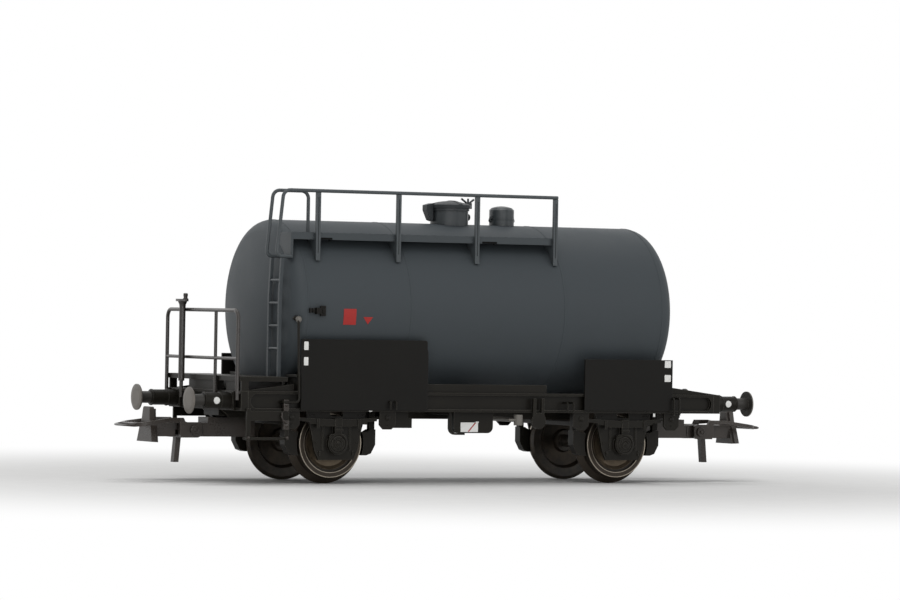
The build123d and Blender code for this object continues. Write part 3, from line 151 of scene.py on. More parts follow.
class Nodes:
    """Short names for the node calls that the materials share."""

    def __init__(self, tree):
        self.tree = tree
        tree.nodes.clear()

    def add(self, kind, **settings):
        node = self.tree.nodes.new(kind)
        for key, value in settings.items():
            setattr(node, key, value)
        return node

    def link(self, source, target):
        self.tree.links.new(source, target)

    def put(self, socket, value):
        """Link an output, or set a constant on the socket itself."""
        if isinstance(value, bpy.types.NodeSocket):
            self.link(value, socket)
        else:
            socket.default_value = value

    def math(self, operation, *values, clamp=False):
        node = self.add("ShaderNodeMath", operation=operation, use_clamp=clamp)
        for socket, value in zip(node.inputs, values):
            self.put(socket, value)
        return node.outputs[0]

    def length(self, first, second):
        """Length of the vector with these two parts."""
        squares = [self.math("MULTIPLY", part, part) for part in (first, second)]
        return self.math("SQRT", self.math("ADD", *squares))

    def place(self):
        """Place on the object, in millimetres."""
        coords = self.add("ShaderNodeTexCoord")
        mapping = self.add("ShaderNodeMapping")
        mapping.inputs["Scale"].default_value = [1.0 / MM] * 3
        self.link(coords.outputs["Object"], mapping.inputs["Vector"])
        return mapping.outputs["Vector"]

    def split(self, vector):
        node = self.add("ShaderNodeSeparateXYZ")
        self.link(vector, node.inputs[0])
        return node.outputs

    def join(self, x, y, z):
        node = self.add("ShaderNodeCombineXYZ")
        for socket, value in zip(node.inputs, (x, y, z)):
            self.put(socket, value)
        return node.outputs[0]

    def noise(self, vector, scale, detail=3.0, roughness=0.55):
        node = self.add("ShaderNodeTexNoise")
        self.link(vector, node.inputs["Vector"])
        node.inputs["Scale"].default_value = scale
        node.inputs["Detail"].default_value = detail
        node.inputs["Roughness"].default_value = roughness
        return node.outputs["Fac"]

    def scaled(self, value, low, high, new_low, new_high):
        node = self.add("ShaderNodeMapRange")
        for socket, number in zip(node.inputs, (value, low, high, new_low, new_high)):
            self.put(socket, number)
        return node.outputs[0]

    def spread(self, noise, new_low=0.0, new_high=1.0):
        """Noise stretched to new limits."""
        return self.scaled(noise, *NOISE_SPAN, new_low, new_high)

    def ramp(self, value, low, high):
        """0 below low, 1 above high."""
        return self.scaled(value, low, high, 0.0, 1.0)

    def band(self, value, low, high, soft=0.05):
        """1 between low and high, 0 elsewhere."""
        return self.math("MULTIPLY", self.ramp(value, low - soft, low + soft),
                         self.scaled(value, high - soft, high + soft, 1.0, 0.0))

    def mix(self, factor, first, second, blend="MIX"):
        node = self.add("ShaderNodeMix", data_type="RGBA", blend_type=blend)
        # Inputs 6 and 7 and output 2 of this node are its colours
        self.put(node.inputs[0], factor)
        self.put(node.inputs[6], first)
        self.put(node.inputs[7], second)
        return node.outputs[2]

    def bump(self, height, strength, normal=None):
        node = self.add("ShaderNodeBump")
        node.inputs["Strength"].default_value = strength
        node.inputs["Distance"].default_value = RELIEF
        self.link(height, node.inputs["Height"])
        if normal is not None:
            self.link(normal, node.inputs["Normal"])
        return node.outputs["Normal"]

    def seen(self):
        """1 for rays from the camera, direct or by way of a gloss or a clear piece."""
        path = self.add("ShaderNodeLightPath")
        indirect = self.math("MAXIMUM", path.outputs["Is Glossy Ray"],
                             path.outputs["Is Transmission Ray"])
        return self.math("MAXIMUM", path.outputs["Is Camera Ray"], indirect)

    def blend(self, factor, first, second):
        """Mix of two shaders."""
        node = self.add("ShaderNodeMixShader")
        for socket, source in zip(node.inputs, (factor, first, second)):
            self.link(source, socket)
        return node.outputs[0]


# Scales of the noise for clouding, specks and grain in the plastic
CLOUD_SCALE, SPECK_SCALE, GRAIN_SCALE = 0.16, 4.5, 11.0
# How far clouding and specks change the roughness, and the specks' own span there
CLOUD_ROUGHNESS, SPECK_ROUGHNESS = 0.05, 0.04
SPECK_SPAN = (0.2, 0.8)
# The painted highlight on edges is lighter than the plastic by this factor and this offset, if no
# colour is given
EDGE_GAIN, EDGE_OFFSET = 1.9, 0.03
# Samples for the edge mask and for the painted shade in crevices
EDGE_SAMPLES, CREVICE_SHADE_SAMPLES = 6, 8
# Dot product of true and rounded normal that counts as an edge
EDGE_LIMIT = 0.72
# Span of the occlusion over which the painted shade in crevices fades in
CREVICE_SHADE_SPAN = (0.25, 0.95)
# Dished ends, in millimetres: radius of the dish, where it starts, and the middle's fading edge
CROWN_RADIUS = 42.0
END_START = (34.0, 34.5)
END_FADE = (1.5, 3.0)


def new_material(name):
    material = bpy.data.materials.new(name)
    material.use_nodes = True
    return material, Nodes(material.node_tree)


def finish_material(nodes, colour, roughness, normal, metallic=0.0, specular=0.5):
    shader = nodes.add("ShaderNodeBsdfPrincipled")
    nodes.put(shader.inputs["Base Color"], colour)
    nodes.put(shader.inputs["Roughness"], roughness)
    nodes.put(shader.inputs["Metallic"], metallic)
    shader.inputs["Specular IOR Level"].default_value = specular
    nodes.link(normal, shader.inputs["Normal"])
    output = nodes.add("ShaderNodeOutputMaterial")
    nodes.link(shader.outputs[0], output.inputs["Surface"])


def edge_mask(nodes, radius):
    """White near the sharp edges of a moulded piece, where a painted highlight goes, with the
    rounded normal for its shading.
    """
    bevel = nodes.add("ShaderNodeBevel", samples=EDGE_SAMPLES)
    bevel.inputs["Radius"].default_value = radius
    geometry = nodes.add("ShaderNodeNewGeometry")
    dot = nodes.add("ShaderNodeVectorMath", operation="DOT_PRODUCT")
    nodes.link(bevel.outputs[0], dot.inputs[0])
    nodes.link(geometry.outputs["Normal"], dot.inputs[1])
    mask = nodes.scaled(dot.outputs["Value"], 1.0, EDGE_LIMIT, 0.0, 1.0)
    return mask, bevel.outputs[0]


def crevice_shade_mask(nodes, reach):
    """Painted shade: 1 in the open, falling to 0 deep between pieces, where it darkens the colour.
    """
    occlusion = nodes.add("ShaderNodeAmbientOcclusion", samples=CREVICE_SHADE_SAMPLES)
    occlusion.inputs["Distance"].default_value = reach
    return nodes.ramp(occlusion.outputs["AO"], *CREVICE_SHADE_SPAN)


def even_end(nodes, place, normal):
    """Keeps the shading even over the middle of the tank's dished ends."""
    x, y, z = nodes.split(place)
    up = nodes.math("SUBTRACT", z, TANK_AXIS / MM)
    middle = nodes.scaled(nodes.length(y, up), *END_FADE, 1.0, 0.0)
    mask = nodes.math("MULTIPLY", middle, nodes.ramp(nodes.math("ABSOLUTE", x), *END_START))
    outward = nodes.math("MULTIPLY", nodes.math("SIGN", x), CROWN_RADIUS)
    ideal = nodes.add("ShaderNodeVectorMath", operation="NORMALIZE")
    nodes.link(nodes.join(outward, y, up), ideal.inputs[0])
    return nodes.mix(mask, normal, ideal.outputs[0])


def plastic(name, colour, roughness, mottle, grain, edge_highlight=0.0, edge_radius=0.09,
            specular=0.4, edge_highlight_colour=None, crevice_shade=0.0, reach=2.0, tank_end=False):
    """Moulded or printed plastic: faint clouding, matt grain, edges lightened as a painted
    highlight and crevices darkened as painted shade.
    """
    material, nodes = new_material(name)
    place = nodes.place()
    cloud = nodes.noise(place, CLOUD_SCALE, detail=4.0)
    speck = nodes.noise(place, SPECK_SCALE, detail=2.0)
    shade = nodes.math("ADD", nodes.spread(cloud, 1 - mottle, 1 + mottle),
                       nodes.spread(speck, -mottle / 2, mottle / 2))
    # Painted shade: the colour darkens deep in crevices between pieces
    if crevice_shade:
        depth = nodes.scaled(crevice_shade_mask(nodes, reach * MM), 0.0, 1.0, 1 - crevice_shade, 1.0)
        shade = nodes.math("MULTIPLY", shade, depth)
    tinted = nodes.mix(1.0, (*colour, 1.0), nodes.join(shade, shade, shade), blend="MULTIPLY")
    # Painted highlight: the colour lightens near sharp edges
    mask, rounded = edge_mask(nodes, edge_radius * MM)
    if edge_highlight_colour is None:
        edge_highlight_colour = [min(1.0, channel * EDGE_GAIN + EDGE_OFFSET) for channel in colour]
    edge_highlighted = nodes.mix(nodes.math("MULTIPLY", mask, edge_highlight), tinted, (*edge_highlight_colour, 1.0))
    clouded = nodes.spread(cloud, roughness - CLOUD_ROUGHNESS, roughness + CLOUD_ROUGHNESS)
    specks = nodes.scaled(speck, *SPECK_SPAN, -SPECK_ROUGHNESS, SPECK_ROUGHNESS)
    rough = nodes.math("ADD", clouded, specks, clamp=True)
    if tank_end:
        rounded = even_end(nodes, place, rounded)
    fine = nodes.noise(place, GRAIN_SCALE, detail=3.0, roughness=0.7)
    finish_material(nodes, edge_highlighted, rough, nodes.bump(fine, grain, rounded), specular=specular)
    return material


# Metals. Pairs of colours are the darker and the lighter end of a clouding.
BUFFER_GREY = ((0.125, 0.112, 0.098, 1.0), (0.165, 0.150, 0.132, 1.0))
SHANK_BLACK = (0.026, 0.0240, 0.0210, 1.0)
# Painted highlight on the edges of the buffer shank
SHANK_EDGE_HIGHLIGHT = (0.11, 0.102, 0.090, 1.0)
HEAD_DEPTH = (0.32, 0.22)
WHEEL_BRONZE = ((0.070, 0.052, 0.034, 1.0), (0.115, 0.088, 0.058, 1.0))
# Painted shade on the wheel's back and on its faces turned inward
WHEEL_BACK_SHADE = ((0.018, 0.0145, 0.0110, 1.0), (0.042, 0.032, 0.022, 1.0))
# Bare steel of the two thin rings, painted bright enough to stand in for their highlight too
WHEEL_STEEL = ((0.26, 0.225, 0.18, 1.0), (0.45, 0.40, 0.33, 1.0))
RIM_BROWN = (0.022, 0.017, 0.013, 1.0)
GROOVE_BLACK = (0.006, 0.005, 0.004, 1.0)
AXLE_STEEL = ((0.24, 0.22, 0.20, 1.0), (0.34, 0.32, 0.29, 1.0))
# Clouding span of the painted shade on the wheels' backs
BACK_SHADE_SPAN = (0.35, 0.65)
# How much of the brown and of the black covers the bronze
WHEEL_COVER = 0.85
# Turning marks: how much finer they are than the noise
WHEEL_LINES, AXLE_LINES = 9.0, 12.0


def buffer_metal():
    """Buffer head: grey-brown face and rim, near-black shank and back, with a painted highlight on
    the shank's edges.
    """
    material, nodes = new_material("buffer_grey")
    place = nodes.place()
    outward = nodes.math("ABSOLUTE", nodes.split(place)[0])
    face = nodes.ramp(outward, *[BUFFER_FACE - depth for depth in HEAD_DEPTH])
    cloud = nodes.noise(place, 0.9, detail=4.0)
    grey = nodes.mix(nodes.spread(cloud), *BUFFER_GREY)
    mask, rounded = edge_mask(nodes, 0.10 * MM)
    # Painted highlight on the shank's sharp edges
    dark = nodes.mix(nodes.math("MULTIPLY", mask, 0.6), SHANK_BLACK, SHANK_EDGE_HIGHLIGHT)
    normal = nodes.bump(nodes.noise(place, 9.0), 0.3, rounded)
    finish_material(nodes, nodes.mix(face, dark, grey), nodes.spread(cloud, 0.36, 0.48),
                    normal, specular=0.3)
    return material


def wheel_metal(side):
    """Blackened wheel: bronze-brown disc and dark rim, a back darkened as painted shade, and two
    thin rings worn to bright steel that also stand in for a highlight.
    """
    material, nodes = new_material("wheel_metal_" + side)
    place = nodes.place()
    x, y, z = nodes.split(place)
    radius = nodes.length(nodes.math("SUBTRACT", x, AXLE_X[side] / MM),
                          nodes.math("SUBTRACT", z, AXLE_Z / MM))
    outward = nodes.math("ABSOLUTE", y)
    turned = nodes.join(nodes.math("MULTIPLY", radius, WHEEL_LINES),
                        nodes.math("MULTIPLY", outward, WHEEL_LINES), 0.0)
    lines = nodes.noise(turned, 1.6, roughness=0.7)
    cloud = nodes.noise(place, 0.7, detail=4.0)

    # Two thin rings of bare steel on the front face, also a painted highlight on the rim's edges
    rim = nodes.band(radius, TYRE_EDGE - 0.12, TYRE_EDGE + 0.2, soft=0.03)
    ring = nodes.band(radius, RIM_EDGE + 0.02, RIM_EDGE + 0.10, soft=0.03)
    bright = nodes.math("MULTIPLY", nodes.math("MAXIMUM", rim, ring),
                        nodes.ramp(outward, *FACE_SIDE))

    bronze = nodes.mix(nodes.spread(cloud), *WHEEL_BRONZE)
    brown = nodes.math("MULTIPLY", nodes.ramp(radius, DISC_EDGE, RIM_EDGE), WHEEL_COVER)
    bronze = nodes.mix(brown, bronze, RIM_BROWN)
    groove = nodes.math("MULTIPLY", nodes.band(radius, DISC_EDGE + 0.03, RIM_EDGE - 0.03),
                        nodes.ramp(outward, *GROOVE_SIDE))
    front = nodes.mix(nodes.math("MULTIPLY", groove, WHEEL_COVER), bronze, GROOVE_BLACK)

    # Painted shade: faces turned inward and the back of the wheel are darkened
    facing = nodes.split(nodes.add("ShaderNodeNewGeometry").outputs["Normal"])[1]
    inward = nodes.scaled(nodes.math("MULTIPLY", facing, nodes.math("SIGN", y)),
                          -0.3, 0.0, 1.0, 0.0)
    inner = nodes.math("MAXIMUM", inward, nodes.scaled(outward, *BACK_SIDE, 1.0, 0.0))
    back_shade = nodes.mix(nodes.ramp(cloud, *BACK_SHADE_SPAN), *WHEEL_BACK_SHADE)
    steel = nodes.mix(nodes.spread(lines), *WHEEL_STEEL)
    colour = nodes.mix(bright, nodes.mix(inner, front, back_shade), steel)

    rough = nodes.math("ADD", nodes.scaled(bright, 0.0, 1.0, 0.40, 0.30),
                       nodes.spread(lines, -0.06, 0.06))
    shine = nodes.math("MAXIMUM", bright, nodes.scaled(outward, *BACK_SIDE, 0.0, 0.5))
    normal = nodes.bump(lines, 0.35, edge_mask(nodes, 0.06 * MM)[1])
    finish_material(nodes, colour, rough, normal, specular=0.35,
                    metallic=nodes.scaled(shine, 0.0, 1.0, 0.1, 1.0))
    return material


def axle_steel():
    """Turned steel, with fine marks round the axle."""
    material, nodes = new_material("axle_steel")
    across = nodes.math("MULTIPLY", nodes.split(nodes.place())[1], AXLE_LINES)
    lines = nodes.noise(nodes.join(0.0, across, 0.0), 1.3)
    colour = nodes.mix(nodes.spread(lines), *AXLE_STEEL)
    finish_material(nodes, colour, nodes.spread(lines, 0.30, 0.45), nodes.bump(lines, 0.3),
                    metallic=1.0)
    return material


PRINT = dict(roughness=0.45, mottle=0.03, grain=0.25, edge_radius=0.02)
# What plastic() takes for each finish
PLASTICS = {
    "tank_grey": dict(
        colour=(0.047, 0.0555, 0.0615), roughness=0.56, mottle=0.035, grain=0.22,
        edge_highlight=0.25, specular=0.22, crevice_shade=0.35, reach=1.5, tank_end=True),
    "fitting_grey": dict(
        colour=(0.042, 0.049, 0.053), roughness=0.34, mottle=0.04, grain=0.15,
        edge_highlight=0.30, specular=0.30, crevice_shade=0.55, reach=1.0),
    "lid_grey": dict(
        colour=(0.029, 0.0335, 0.036), roughness=0.46, mottle=0.04, grain=0.15,
        edge_highlight=0.30, specular=0.20, crevice_shade=0.5, reach=1.0),
    "rail_grey": dict(
        colour=(0.058, 0.067, 0.072), roughness=0.40, mottle=0.05, grain=0.3,
        edge_highlight=0.5, specular=0.30, crevice_shade=0.4, reach=1.0),
    # Painted shade for the slots on the walkway's lip
    "slot_shade_black": dict(
        colour=(0.0045, 0.0045, 0.0045), roughness=0.6, mottle=0.05, grain=0.3,
        specular=0.05),
    "rod_brown": dict(
        colour=(0.027, 0.0225, 0.0195), roughness=0.30, mottle=0.10, grain=0.35,
        edge_highlight=0.6, edge_radius=0.08, edge_highlight_colour=(0.12, 0.10, 0.09),
        specular=0.45, crevice_shade=0.6, reach=1.0),
    "walkway_grey": dict(
        colour=(0.042, 0.050, 0.055), roughness=0.42, mottle=0.05, grain=0.35,
        edge_highlight=0.55, specular=0.28, crevice_shade=0.4, reach=1.0),
    "frame_black": dict(
        colour=(0.0105, 0.0092, 0.0068), roughness=0.38, mottle=0.12, grain=0.45,
        edge_highlight=0.9, edge_radius=0.11, edge_highlight_colour=(0.115, 0.107, 0.092),
        specular=0.13, crevice_shade=0.55, reach=2.2),
    "board_black": dict(
        colour=(0.0088, 0.0083, 0.0073), roughness=0.44, mottle=0.08, grain=0.3,
        edge_highlight=0.6, edge_radius=0.08, edge_highlight_colour=(0.060, 0.056, 0.050),
        specular=0.10, crevice_shade=0.4, reach=1.5),
    "coupling_plastic": dict(
        colour=(0.031, 0.0245, 0.0200), roughness=0.30, mottle=0.10, grain=0.35,
        edge_highlight=0.75, edge_radius=0.10, edge_highlight_colour=(0.15, 0.13, 0.115),
        specular=0.34, crevice_shade=0.8, reach=1.6),
    "pale_plastic": dict(
        colour=(0.15, 0.14, 0.125), roughness=0.36, mottle=0.08, grain=0.3,
        edge_highlight=0.4, specular=0.3, crevice_shade=0.7, reach=1.0),
    "white_print": dict(colour=(0.78, 0.78, 0.76), **PRINT),
    "red_print": dict(colour=(0.34, 0.012, 0.009), **PRINT),
}


def make_materials():
    materials = {name: plastic(name, **settings) for name, settings in PLASTICS.items()}
    materials["buffer_grey"] = buffer_metal()
    materials["axle_steel"] = axle_steel()
    materials["wheel_left"] = wheel_metal("left")
    materials["wheel_right"] = wheel_metal("right")
    return materials


# Nodes with a finish that differs from the rest of their slot
OWN_FINISH = {
    "manway_neck": "fitting_grey", "manway_lid": "lid_grey", "lid_clamp": "fitting_grey",
    "vent_neck": "fitting_grey", "vent_cap": "fitting_grey",
    "boards_near": "board_black", "boards_far": "board_black",
    "release_valve": "pale_plastic", "tank_clamp": "board_black",
    "walkway_posts": "rail_grey", "walkway_rail": "rail_grey", "ladder_hoop": "rail_grey",
    "platform_railing": "rod_brown", "brake_column": "rod_brown",
}


def dress_frame():
    """Gives each CAD node its material; that of a wheelset is centred on its own axle."""
    slots = {row["node"]: row["material_slot"] for row in frame["record"]["subparts"]}
    for name, node in frame["nodes"].items():
        slot = OWN_FINISH.get(name, slots[name])
        if slot == "wheel_metal":
            slot = "wheel_" + name.split("_")[-1]
        node.data.materials.clear()
        node.data.materials.append(MATERIALS[slot])


# How far a printed patch stands out, in millimetres
PATCH_PROUD = 0.035
# Share of a tube's radius at its ends, and of a dome's at its tip
TUBE_END, DOME_TIP = 0.6, 0.06
CORNER_STEPS = DOME_STEPS = 4


class Shape:
    """Points and faces of one piece, in millimetres above the rail top."""

    def __init__(self):
        self.points = []
        self.faces = []

    def add(self, points, faces):
        start = len(self.points)
        self.points += [Vector(point) for point in points]
        self.faces += [[start + index for index in face] for face in faces]

    def loft(self, rings):
        """Skin over closed rings of the same number of points, with a cap at each end."""
        count = len(rings[0])
        faces = []
        for ring in range(len(rings) - 1):
            for k in range(count):
                a, b = ring * count + k, ring * count + (k + 1) % count
                faces.append((a, b, b + count, a + count))
        faces.append(tuple(reversed(range(count))))
        faces.append(tuple(range((len(rings) - 1) * count, len(rings) * count)))
        self.add([point for ring in rings for point in ring], faces)

    def lathe(self, centre, axis, profile, segments=24, start=0.0):
        """Turned form: profile rows are radius and distance along the axis."""
        along = Vector(axis).normalized()
        side = along.orthogonal().normalized()
        other = along.cross(side)
        angles = [start + 2 * pi * k / segments for k in range(segments)]
        rings = []
        for radius, reach in profile:
            middle = Vector(centre) + along * reach
            rings.append([middle + (side * cos(a) + other * sin(a)) * radius for a in angles])
        self.loft(rings)

    def slab(self, outline, place, low, high, bevel=0.03):
        """Plate with a softened front edge: place turns outline and depth into a point."""
        middle_a = sum(a for a, b in outline) / len(outline)
        middle_b = sum(b for a, b in outline) / len(outline)
        reach = max(max(abs(a - middle_a), abs(b - middle_b)) for a, b in outline)
        shrink = 1 - bevel / reach
        inset = [(middle_a + (a - middle_a) * shrink, middle_b + (b - middle_b) * shrink)
                 for a, b in outline]
        self.loft([[place(a, b, low) for a, b in outline],
                   [place(a, b, high - bevel) for a, b in outline],
                   [place(a, b, high) for a, b in inset]])

    def tube(self, path, radius, segments=12):
        """Round bar along a path, its first and last ring smaller."""
        path = [Vector(point) for point in path]
        last = len(path) - 1
        turns = [2 * pi * n / segments for n in range(segments)]
        rings = []
        for k, point in enumerate(path):
            ahead = (path[min(k + 1, last)] - path[max(k - 1, 0)]).normalized()
            side = ahead.cross(Vector(UPWARD)).normalized()
            up = side.cross(ahead)
            size = radius * (TUBE_END if k in (0, last) else 1.0)
            rings.append([point + side * size * cos(a) + up * size * sin(a) for a in turns])
        self.loft(rings)

    def patch(self, outline, axis_y, axis_z, radius, steps=10):
        """Printed patch on the near side of a round surface lying along X."""
        depth = radius + PATCH_PROUD
        rows = [[] for i in range(steps + 1)]
        for i, row in enumerate(rows):
            for j in range(steps + 1):
                x, z = outline(2 * i / steps - 1, 2 * j / steps - 1)
                lean = (z - axis_z) / radius
                y = axis_y - depth * sqrt(1 - lean * lean)
                row.append(Vector((x, y, axis_z + depth * lean)))
        points = [point for row in rows for point in row]
        count = steps + 1
        faces = [(i * count + j, (i + 1) * count + j,
                  (i + 1) * count + j + 1, i * count + j + 1)
                 for i in range(steps) for j in range(steps)]
        rim = [(i, 0) for i in range(steps)] + [(steps, j) for j in range(steps)]
        rim += [(i, steps) for i in range(steps, 0, -1)] + [(0, j) for j in range(steps, 0, -1)]
        low = len(points)
        for i, j in rim:
            point = rows[i][j]
            inward = Vector((0, axis_y - point.y, axis_z - point.z)).normalized()
            points.append(point + inward * 2 * PATCH_PROUD)
        for k, (i, j) in enumerate(rim):
            following = (k + 1) % len(rim)
            next_i, next_j = rim[following]
            faces.append((i * count + j, low + k, low + following, next_i * count + next_j))
        self.add(points, faces)

    def turned(self):
        """The same forms again after half a turn about the wagon's middle."""
        count = len(self.points)
        self.points += [Vector((-p.x, -p.y, p.z)) for p in self.points]
        self.faces += [[count + index for index in face] for face in self.faces]

    def mirrored(self, axis):
        """The same forms again, mirrored across the plane through the middle."""
        count = len(self.points)
        for point in self.points[:count]:
            copy = point.copy()
            copy[axis] = -copy[axis]
            self.points.append(copy)
        self.faces += [[count + index for index in reversed(face)] for face in self.faces]

    def make(self, name, finish, body="wagon", sharp=35.0):
        """Mesh of the piece, riding on its body; edges above sharp degrees aren't smoothed."""
        rise = Vector((0, 0, LIFT))
        mesh = bpy.data.meshes.new(name)
        mesh.from_pydata([tuple((p + rise) * MM) for p in self.points], [], self.faces)
        mesh.polygons.foreach_set("use_smooth", [True] * len(mesh.polygons))
        mesh.update()
        mesh.set_sharp_from_angle(angle=radians(sharp))
        mesh.materials.append(MATERIALS[finish])
        piece = bpy.data.objects.new(name, mesh)
        bpy.context.scene.collection.objects.link(piece)
        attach(piece, body)


def rectangle(low_x, high_x, low_z, high_z, radius=0.0):
    """Outline of a rectangle, with rounded corners if a radius is given."""
    if not radius:
        return [(low_x, low_z), (high_x, low_z), (high_x, high_z), (low_x, high_z)]
    left, right = low_x + radius, high_x - radius
    foot, head = low_z + radius, high_z - radius
    outline = []
    for x, z, start in ((right, foot, -90), (right, head, 0), (left, head, 90), (left, foot, 180)):
        for k in range(CORNER_STEPS + 1):
            angle = radians(start + 90 * k / CORNER_STEPS)
            outline.append((x + radius * cos(angle), z + radius * sin(angle)))
    return outline


def upright(middle, half, low, high, radius):
    """Outline of an upright bar, by its middle and half its width."""
    return rectangle(middle - half, middle + half, low, high, radius)


def on_side(y):
    """Plate facing -Y: outline is X and Z, depth is measured outward from y."""
    return lambda a, b, depth: (a, y - depth, b)


def on_top(z):
    """Plate facing up: outline is X and Y, depth is measured upward from z."""
    return lambda a, b, depth: (a, b, z + depth)


def dome(radius, height):
    """Profile of a rivet head."""
    angles = [pi / 2 * k / DOME_STEPS for k in range(DOME_STEPS)]
    return [(radius * cos(a), height * sin(a)) for a in angles] + [(radius * DOME_TIP, height)]


# From here on all sizes are in millimetres. A rectangle is its lowest and highest X, then its
# lowest and highest Z. The rows of a profile are a radius and a distance along the axis.

CASE_RADIUS = 1.23
DOT_X = 46.2
DOT_RADIUS = 0.53
DOT_STEPS = 12
# Radius of the surface that carries the red patches
PATCH_RADIUS = 13.85
RED_SQUARE = (-25.8, -23.6, 24.1, 26.6)
RED_TRIANGLE = (-22.35, -20.65, 24.2, 25.35)
BOARD_BLOCKS = ((-32.66, -31.9, 20.07, 21.39), (-32.66, -31.9, 17.66, 18.97),
                (32.4, 33.55, 17.9, 19.03), (32.4, 33.55, 15.63, 16.75))
# Each mark with the depth of the surface that carries it
SMALL_MARKS = (((-21.0, -20.4, 10.5, 10.72), 13.6), ((30.65, 31.05, 9.92, 10.75), 13.45))
MARK_DEPTH = (-0.02, 0.03)
MARK_BEVEL = 0.02
LABEL = (-3.9, -0.75, 7.32, 8.85)
LABEL_FOOT, LABEL_FACE, STRIPE_FACE, TAB_FACE = -0.05, 0.06, 0.075, 0.10
# The stripe runs between these shares of the label's width, at its foot and at its head
STRIPE_FOOT, STRIPE_HEAD = (0.40, 0.48), (0.80, 0.88)
STRIPE_GAP = 0.05


def make_prints():
    """White and red marks, all blank."""
    dots = Shape()
    for x in (-DOT_X, DOT_X):
        dots.patch(lambda u, v: (x + DOT_RADIUS * u * sqrt(1 - v * v / 2),
                                 BUFFER_Z + DOT_RADIUS * v * sqrt(1 - u * u / 2)),
                   -BUFFER_Y, BUFFER_Z, CASE_RADIUS, steps=DOT_STEPS)
    dots.turned()
    dots.make("buffer_dots", "white_print")

    signs = Shape()
    low_x, high_x, low_z, high_z = RED_SQUARE
    middle = ((low_x + high_x) / 2, (low_z + high_z) / 2)
    half = ((high_x - low_x) / 2, (high_z - low_z) / 2)
    signs.patch(lambda u, v: (middle[0] + half[0] * u, middle[1] + half[1] * v),
                0, TANK_Z, PATCH_RADIUS)
    left, right, foot, head = RED_TRIANGLE
    signs.patch(lambda u, v: ((left + right) / 2 + (right - left) / 2 * u * (1 + v) / 2,
                              foot + (head - foot) * (v + 1) / 2), 0, TANK_Z, PATCH_RADIUS)
    signs.turned()
    signs.make("tank_patches", "red_print")

    blocks = Shape()
    for outline in BOARD_BLOCKS:
        blocks.slab(rectangle(*outline, radius=0.12), on_side(-BOARD_FACE), *MARK_DEPTH,
                    bevel=MARK_BEVEL)
    blocks.turned()
    for outline, depth in SMALL_MARKS:
        blocks.slab(rectangle(*outline, radius=0.08), on_side(-depth), *MARK_DEPTH,
                    bevel=MARK_BEVEL)
    blocks.make("board_marks", "white_print")

    surface = on_side(corners("changeover_box")[0].y / MM)
    low_x, high_x, low_z, high_z = LABEL
    label = Shape()
    label.slab(rectangle(*LABEL, radius=0.1), surface, LABEL_FOOT, LABEL_FACE)
    tab = rectangle(high_x - 0.45, high_x + 0.12, high_z - 0.05, high_z + 0.14, radius=0.05)
    label.slab(tab, surface, LABEL_FOOT, TAB_FACE)
    label.make("box_label", "white_print")

    stripe = Shape()
    wide = high_x - low_x
    foot = [(low_x + share * wide, low_z + STRIPE_GAP) for share in STRIPE_FOOT]
    head = [(low_x + share * wide, high_z - STRIPE_GAP) for share in reversed(STRIPE_HEAD)]
    stripe.slab(foot + head, surface, -LABEL_FOOT, STRIPE_FACE, bevel=0.01)
    stripe.make("box_stripe", "red_print")


BOARD_BACK = 13.6
LARGE_BOARD = (-33.02, -10.95, 10.68, 21.78)


def make_boards():
    """Front skin of the two large boards, with a small radius at their corners."""
    skin = Shape()
    skin.slab(rectangle(*LARGE_BOARD, radius=0.4), on_side(-BOARD_BACK), 0.0,
              BOARD_FACE - BOARD_BACK, bevel=0.05)
    skin.turned()
    skin.make("large_boards", "board_black", sharp=25)


# Crank: its Y, its distance from the column's left edge, and its drop from the column's top
CRANK_Y, CRANK_COLLAR, CRANK_DROP = 5.9, 0.62, 1.25
# Rows: distance along the arm, half width
CRANK_ARM = ((-1.75, 0.14), (-1.6, 0.30), (-1.0, 0.32), (0.0, 0.36), (1.2, 0.30), (2.2, 0.20),
             (2.4, 0.12))
ARM_FOOT, ARM_HEAD = -0.02, 0.37
HANDLE_PLACE = (-1.1, 0.3)
CRANK_HANDLE = ((0.40, 0.0), (0.42, 0.14), (0.33, 0.20), (0.31, 0.42), (0.36, 0.50),
                (0.36, 0.88), (0.26, 0.97), (0.03, 0.99))
HUB_DROP = 0.6
CRANK_HUB = ((0.52, 0.0), (0.54, 0.1), (0.74, 0.52), (0.76, 0.60), (0.5, 0.64))


def make_crank():
    """Flat arm, hub and handle of the handbrake."""
    low, high = corners("brake_column")
    x, y, top = low.x / MM + CRANK_COLLAR, CRANK_Y, high.z / MM - LIFT - CRANK_DROP
    foot, head = top + ARM_FOOT, top + ARM_HEAD
    crank = Shape()
    crank.loft([[(x - half, y + reach, foot), (x + half, y + reach, foot),
                 (x + half, y + reach, head), (x - half, y + reach, head)]
                for reach, half in CRANK_ARM])
    crank.lathe((x, y + HANDLE_PLACE[0], top + HANDLE_PLACE[1]), UPWARD, CRANK_HANDLE, 20)
    crank.lathe((x, y, top - HUB_DROP), UPWARD, CRANK_HUB, 24)
    crank.make("brake_crank", "rod_brown", sharp=35)


BOX_FACE = 12.75
BOX_RING = ((1.26, -0.02), (1.30, 0.10), (1.36, 0.14), (1.50, 0.14), (1.57, 0.08),
            (1.60, -0.02))
